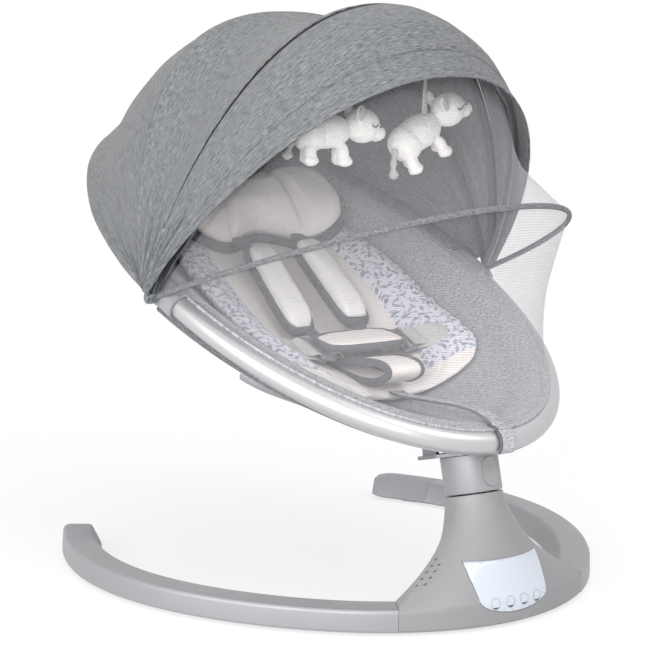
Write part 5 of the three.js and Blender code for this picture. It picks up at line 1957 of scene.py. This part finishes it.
    def foot_strap(self) -> None:
        """The strap from the insert's front edge over the ring and round the tube."""
        wrap = SEAT.tube + 0.0033
        start = [(-0.172, -0.042), (-0.186, -0.038), (-0.240, -0.0105), (-0.280, 0.0085),
                 (-0.305, 0.0146)]
        arc = [(-SEAT.half_length + wrap * cos(radians(lerp(62, 195, k / 10))),
                wrap * sin(radians(lerp(62, 195, k / 10)))) for k in range(11)]
        marks = [Vector(mark) for mark in start + arc]

        def line(f: float) -> Vector:
            spot = f * (len(marks) - 1)
            i = min(int(spot), len(marks) - 2)
            before, after = marks[max(0, i - 1)], marks[min(len(marks) - 1, i + 2)]
            a, b, g = marks[i], marks[i + 1], spot - i
            return 0.5 * ((2 * a) + (b - before) * g + (2 * before - 5 * a + 4 * b - after) * g * g
                          + (3 * a - before - 3 * b + after) * g ** 3)

        def strip(half: float, thick: float, lift: float, at: float) -> Mesh:
            def place(s: float, t: float) -> Vector:
                here = line(t)
                run = line(min(1.0, t + 2e-3)) - line(max(0.0, t - 2e-3))
                up = Vector((run.y, -run.x)).normalized() * -1.0
                up = up if up.y > 0 or t > 0.5 else -up
                ring = 2 * pi * s
                rise = lift + thick * power(sin(ring), 0.8)
                u = at + half * power(cos(ring), 0.4)
                return SEAT.point(u, here.x + up.x * rise, here.y + up.y * rise)
            return closed(20, 110, place, (0.02, 0.16))
        made("foot_strap_band", strip(0.0095, 0.0007, 0.0004, 0.0), "seat", self.looks.liner,
             "piping_fabric", "foot_strap")
        made("foot_strap_edge", strip(0.0013, 0.0012, 0.0008, -0.0094), "seat", self.looks.piping,
             "piping_fabric")


# ------------------------------------------------------------------ toys
@dataclass
class Toys:
    """Two plush animals that hang from the middle bow."""

    looks: Finishes
    scale: float = 1.12
    voxel: float = 0.0013
    lumps: tuple = (  # body, haunch, head, muzzle, ears, then the legs and the paws
        (-0.009, 0, 0.003, 0.028, 0.0165, 0.0165),
        (-0.026, 0, 0.000, 0.016, 0.0170, 0.0175),
        (0.031, -0.004, 0.009, 0.0175, 0.0155, 0.0160),
        (0.0455, -0.007, 0.003, 0.0095, 0.0090, 0.0080),
        (0.020, -0.015, 0.020, 0.0045, 0.0040, 0.0085),
        (0.026, 0.011, 0.022, 0.0045, 0.0040, 0.0080),
        (-0.031, -0.009, -0.017, 0.0062, 0.0060, 0.0095),
        (-0.021, 0.009, -0.017, 0.0062, 0.0060, 0.0095),
        (0.006, -0.010, -0.017, 0.0058, 0.0060, 0.0100),
        (0.015, 0.009, -0.017, 0.0058, 0.0060, 0.0100),
        (-0.030, -0.010, -0.0235, 0.0078, 0.0068, 0.0052),
        (-0.019, 0.009, -0.0235, 0.0078, 0.0068, 0.0052),
        (0.008, -0.011, -0.0235, 0.0076, 0.0066, 0.0052),
        (0.017, 0.009, -0.0235, 0.0076, 0.0066, 0.0052),
    )

    def build(self) -> None:
        """Makes both animals and their ribbons."""
        for side, tilt in (("left", 0.05), ("right", -0.42)):
            low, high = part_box(f"{side}_toy")
            centre = (low + high) / 2
            self.animal(side, centre, tilt)
            self.ribbon(side)

    def animal(self, side: str, centre: Vector, tilt: float) -> None:
        """One animal, its nose to the right."""
        turn = Matrix.Rotation(tilt, 4, "Y")
        spot = lambda x, y, z: centre + turn.to_3x3() @ Vector((x, y, z)) * self.scale
        size = lambda *radii: [r * self.scale for r in radii]
        body = [ball(spot(x, y, z), size(*radii), turn) for x, y, z, *radii in self.lumps]
        piece = to_object(f"{side}_plush_animal", outward(joined(body)), 80)
        evened(piece, self.voxel)
        softened(piece, 6)
        baked(piece)
        shifted(piece, lambda place, normal: normal * (
            0.0005 * crumple(place, 0.006) + 0.0004 * crumple(place, 0.0025)))
        dress(smooth(piece), f"{side}_toy", (self.looks.plush,), "plush", f"{side}_toy")
        trim = [ball(spot(0.0195, -0.0172, 0.020), size(0.0032, 0.0022, 0.0066), turn),
                swept(lambda t: self.tail_station(spot, t), self.tail_section, 24, 16)]
        made(f"{side}_plush_trim", outward(joined(trim)), f"{side}_toy", self.looks.plush_grey,
             "plush", sharp=80)
        face = [self.closed_eye(spot, 0.034, -0.0195), self.closed_eye(spot, 0.0445, -0.0150),
                ball(spot(0.0535, -0.0095, 0.0052), size(0.0026, 0.0030, 0.0022), turn)]
        made(f"{side}_stitched_face", outward(joined(face)), f"{side}_toy", self.looks.eye,
             "black_plastic")

    @staticmethod
    def tail_station(spot: Callable[[float, float, float], Vector], t: float) -> Matrix:
        """The frame along the hanging tail."""
        line = lambda f: spot(-0.041 - 0.011 * sin(1.7 * f), -0.004, 0.002 - 0.026 * f)
        side = Vector((0, 1, 0))
        return frame_at(line(t), side, (line(t + 0.02) - line(t - 0.02)).cross(side))

    @staticmethod
    def tail_section(s: float, t: float) -> tuple[float, float]:
        """The tail's outline, with three soft rings and a tuft."""
        radius = 0.0032 + 0.0006 * sin(18 * t) + 0.0022 * hump(t, 0.88, 0.12)
        radius *= sqrt(max(0.02, 1 - max(0.0, (t - 0.85) / 0.15) ** 2))
        return radius * cos(2 * pi * s), radius * sin(2 * pi * s)

    def closed_eye(self, spot: Callable[[float, float, float], Vector], x: float, y: float) -> Mesh:
        """A stitched arc for a sleeping eye."""
        def line(f: float) -> Vector:
            turn = pi * lerp(1.1, 1.9, f)
            return spot(x + 0.0038 * cos(turn), y, 0.0125 + 0.0036 * sin(turn))
        return swept(lambda t: frame_at(line(t), Vector((0, 1, 0)), Vector((0, 0, 1))),
                     round_section(0.0009), 12, 8)

    def ribbon(self, side: str) -> None:
        """The ribbon from an animal's back to the bow."""
        low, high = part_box(f"{side}_toy_ribbon")
        centre = (low + high) / 2

        def place(s: float, t: float) -> Vector:
            ring = 2 * pi * s
            twist = 0.5 * sin(pi * t)
            flat = Vector((0.004 * power(cos(ring), 0.4), 0.0006 * power(sin(ring), 0.8), 0))
            flat.rotate(Matrix.Rotation(twist, 3, "Z"))
            return Vector((centre.x, centre.y, lerp(low.z - 0.004, high.z, t))) + flat
        made(f"{side}_hanging_ribbon", closed(16, 30, place, (0.01, 0.08)), f"{side}_toy",
             self.looks.webbing, "webbing", f"{side}_toy_ribbon")


# ------------------------------------------------------------------ studio
@dataclass
class Studio:
    """The camera, the soft light and the pale floor."""

    azimuth: float = -38.054
    elevation: float = 9.321
    roll: float = 1.567
    distance: float = 2.197294
    right: float = 0.001408
    up: float = 0.248634
    lens: float = 110.77

    def axes(self) -> tuple[Vector, Vector, Vector]:
        """The camera's right, up and backward directions."""
        a, e, k = [radians(x) for x in (self.azimuth, self.elevation, self.roll)]
        back = Vector((sin(a) * cos(e), -cos(a) * cos(e), sin(e)))
        right = Vector((cos(a), sin(a), 0))
        up = back.cross(right)
        return (right * cos(k) + up * sin(k), up * cos(k) - right * sin(k), back)

    def camera(self) -> None:
        """Creates the camera at the product shot's angle."""
        right, up, back = self.axes()
        shift = Vector((0, joint("swing")["pos_m"][1] - FloorBase.post_y, 0))
        eye = right * self.right + up * self.up + back * self.distance + shift
        data = bpy.data.cameras.new("camera")
        data.lens, data.sensor_width, data.sensor_fit = self.lens, 36.0, "AUTO"
        data.clip_start, data.clip_end = 0.05, 50.0
        camera = bpy.data.objects.new("camera", data)
        turned = Matrix((right, up, back)).transposed().to_4x4()
        camera.matrix_world = Matrix.Translation(eye) @ turned
        bpy.context.scene.collection.objects.link(camera)
        bpy.context.scene.camera = camera

    def lamp(self, name: str, place: Vector, aim: Vector, size: float, power_w: float) -> None:
        """Adds a square soft lamp that points at aim."""
        data = bpy.data.lights.new(name, "AREA")
        data.shape, data.size, data.energy = "SQUARE", size, power_w
        lamp = bpy.data.objects.new(name, data)
        turned = (place - aim).to_track_quat("Z", "Y").to_matrix().to_4x4()
        lamp.matrix_world = Matrix.Translation(place) @ turned
        bpy.context.scene.collection.objects.link(lamp)

    @staticmethod
    def seen(g: Graph) -> Socket:
        """1 for rays from the camera, also by way of metal and glass."""
        path = g.add("LightPath").outputs
        rays = g.math("MAXIMUM", path["Is Camera Ray"], path["Is Glossy Ray"])
        return g.math("MAXIMUM", rays, path["Is Transmission Ray"])

    def floor(self) -> None:
        """Lays a floor that is plain white but for the soft shadow near the swing."""
        bm = bmesh.new()
        bmesh.ops.create_grid(bm, x_segments=1, y_segments=1, size=12)
        floor = to_object("floor", bm)
        look, g, shader = new_look("floor_finish")
        g.fill(shader, Base_Color=(0.86, 0.86, 0.86, 1), Roughness=0.9, Specular_IOR_Level=0.1)
        away = g.vector("LENGTH", g.spot())
        plain = g.add("Emission", {"Color": (1, 1, 1, 1), "Strength": 1.0}).outputs[0]
        share = g.times(self.seen(g), g.span(away, 0.35, 0.9, 0.72, 1.0))
        mixed = g.add("MixShader", {0: share, 1: shader.outputs[0], 2: plain}).outputs[0]
        output = next(node for node in g.tree.nodes if node.type == "OUTPUT_MATERIAL")
        g.tree.links.new(mixed, output.inputs["Surface"])
        floor.data.materials.append(look)

    def build(self) -> None:
        """Creates the camera, lamps, world and floor."""
        self.camera()
        right, _, back = self.axes()
        aim = Vector((0, 0, 0.28))
        level = lambda z: Vector((0, 0, z))
        self.lamp("key", aim + right * 1.3 + back * 1.1 + level(1.7), aim, 1.6, 25)
        self.lamp("fill", aim - right * 1.5 + back * 1.7 + level(0.3), aim, 1.8, 34)
        self.lamp("mouth", aim + back * 2.0 - right * 0.2 + level(0.1), aim + level(0.1), 1.0, 20)
        self.lamp("top", aim - back * 0.5 + level(2.2), aim, 1.8, 18)
        world = bpy.data.worlds.new("studio")
        world.use_nodes = True
        world.node_tree.nodes.clear()
        g = Graph(world.node_tree)
        soft = g.add("Background", {"Color": (0.99, 0.99, 1, 1), "Strength": 0.62}).outputs[0]
        plain = g.add("Background", {"Color": (1, 1, 1, 1), "Strength": 1.0}).outputs[0]
        mixed = g.add("MixShader", {0: self.seen(g), 1: soft, 2: plain}).outputs[0]
        g.add("OutputWorld", {"Surface": mixed})
        bpy.context.scene.world = world
        self.floor()
        bpy.context.scene.view_settings.view_transform = "Standard"


def build_soft_goods(looks: Finishes) -> None:
    """Makes the hammock and everything padded on it, swelling the pads in one run."""
    cloth = SeatCloth(looks)
    insert = Insert(looks, cloth)
    pillow = HeadPillow(looks, insert)
    harness = Harness(looks, insert)
    cloth.build()
    pads = [insert.pad(), pillow.pad(), *harness.pads()]
    swell(pads)
    insert.finish(pads[0].piece)
    pillow.finish(pads[1].piece)
    harness.finish([pad.piece for pad in pads[2:]])


def main() -> None:
    """Builds the studio and every sub-assembly in order."""
    logging.basicConfig(level=logging.INFO, format="%(name)s %(message)s")
    Studio().build()
    looks = Finishes()
    base = FloorBase(looks)
    base.build()
    Pedestal(looks, base).build()
    SwingPost(looks).build()
    SeatFrame(looks).build()
    build_soft_goods(looks)
    Canopy(looks).build()
    InsectNet(looks).build()
    Toys(looks).build()
    bpy.context.view_layer.update()


if __name__ == "__main__":
    main()
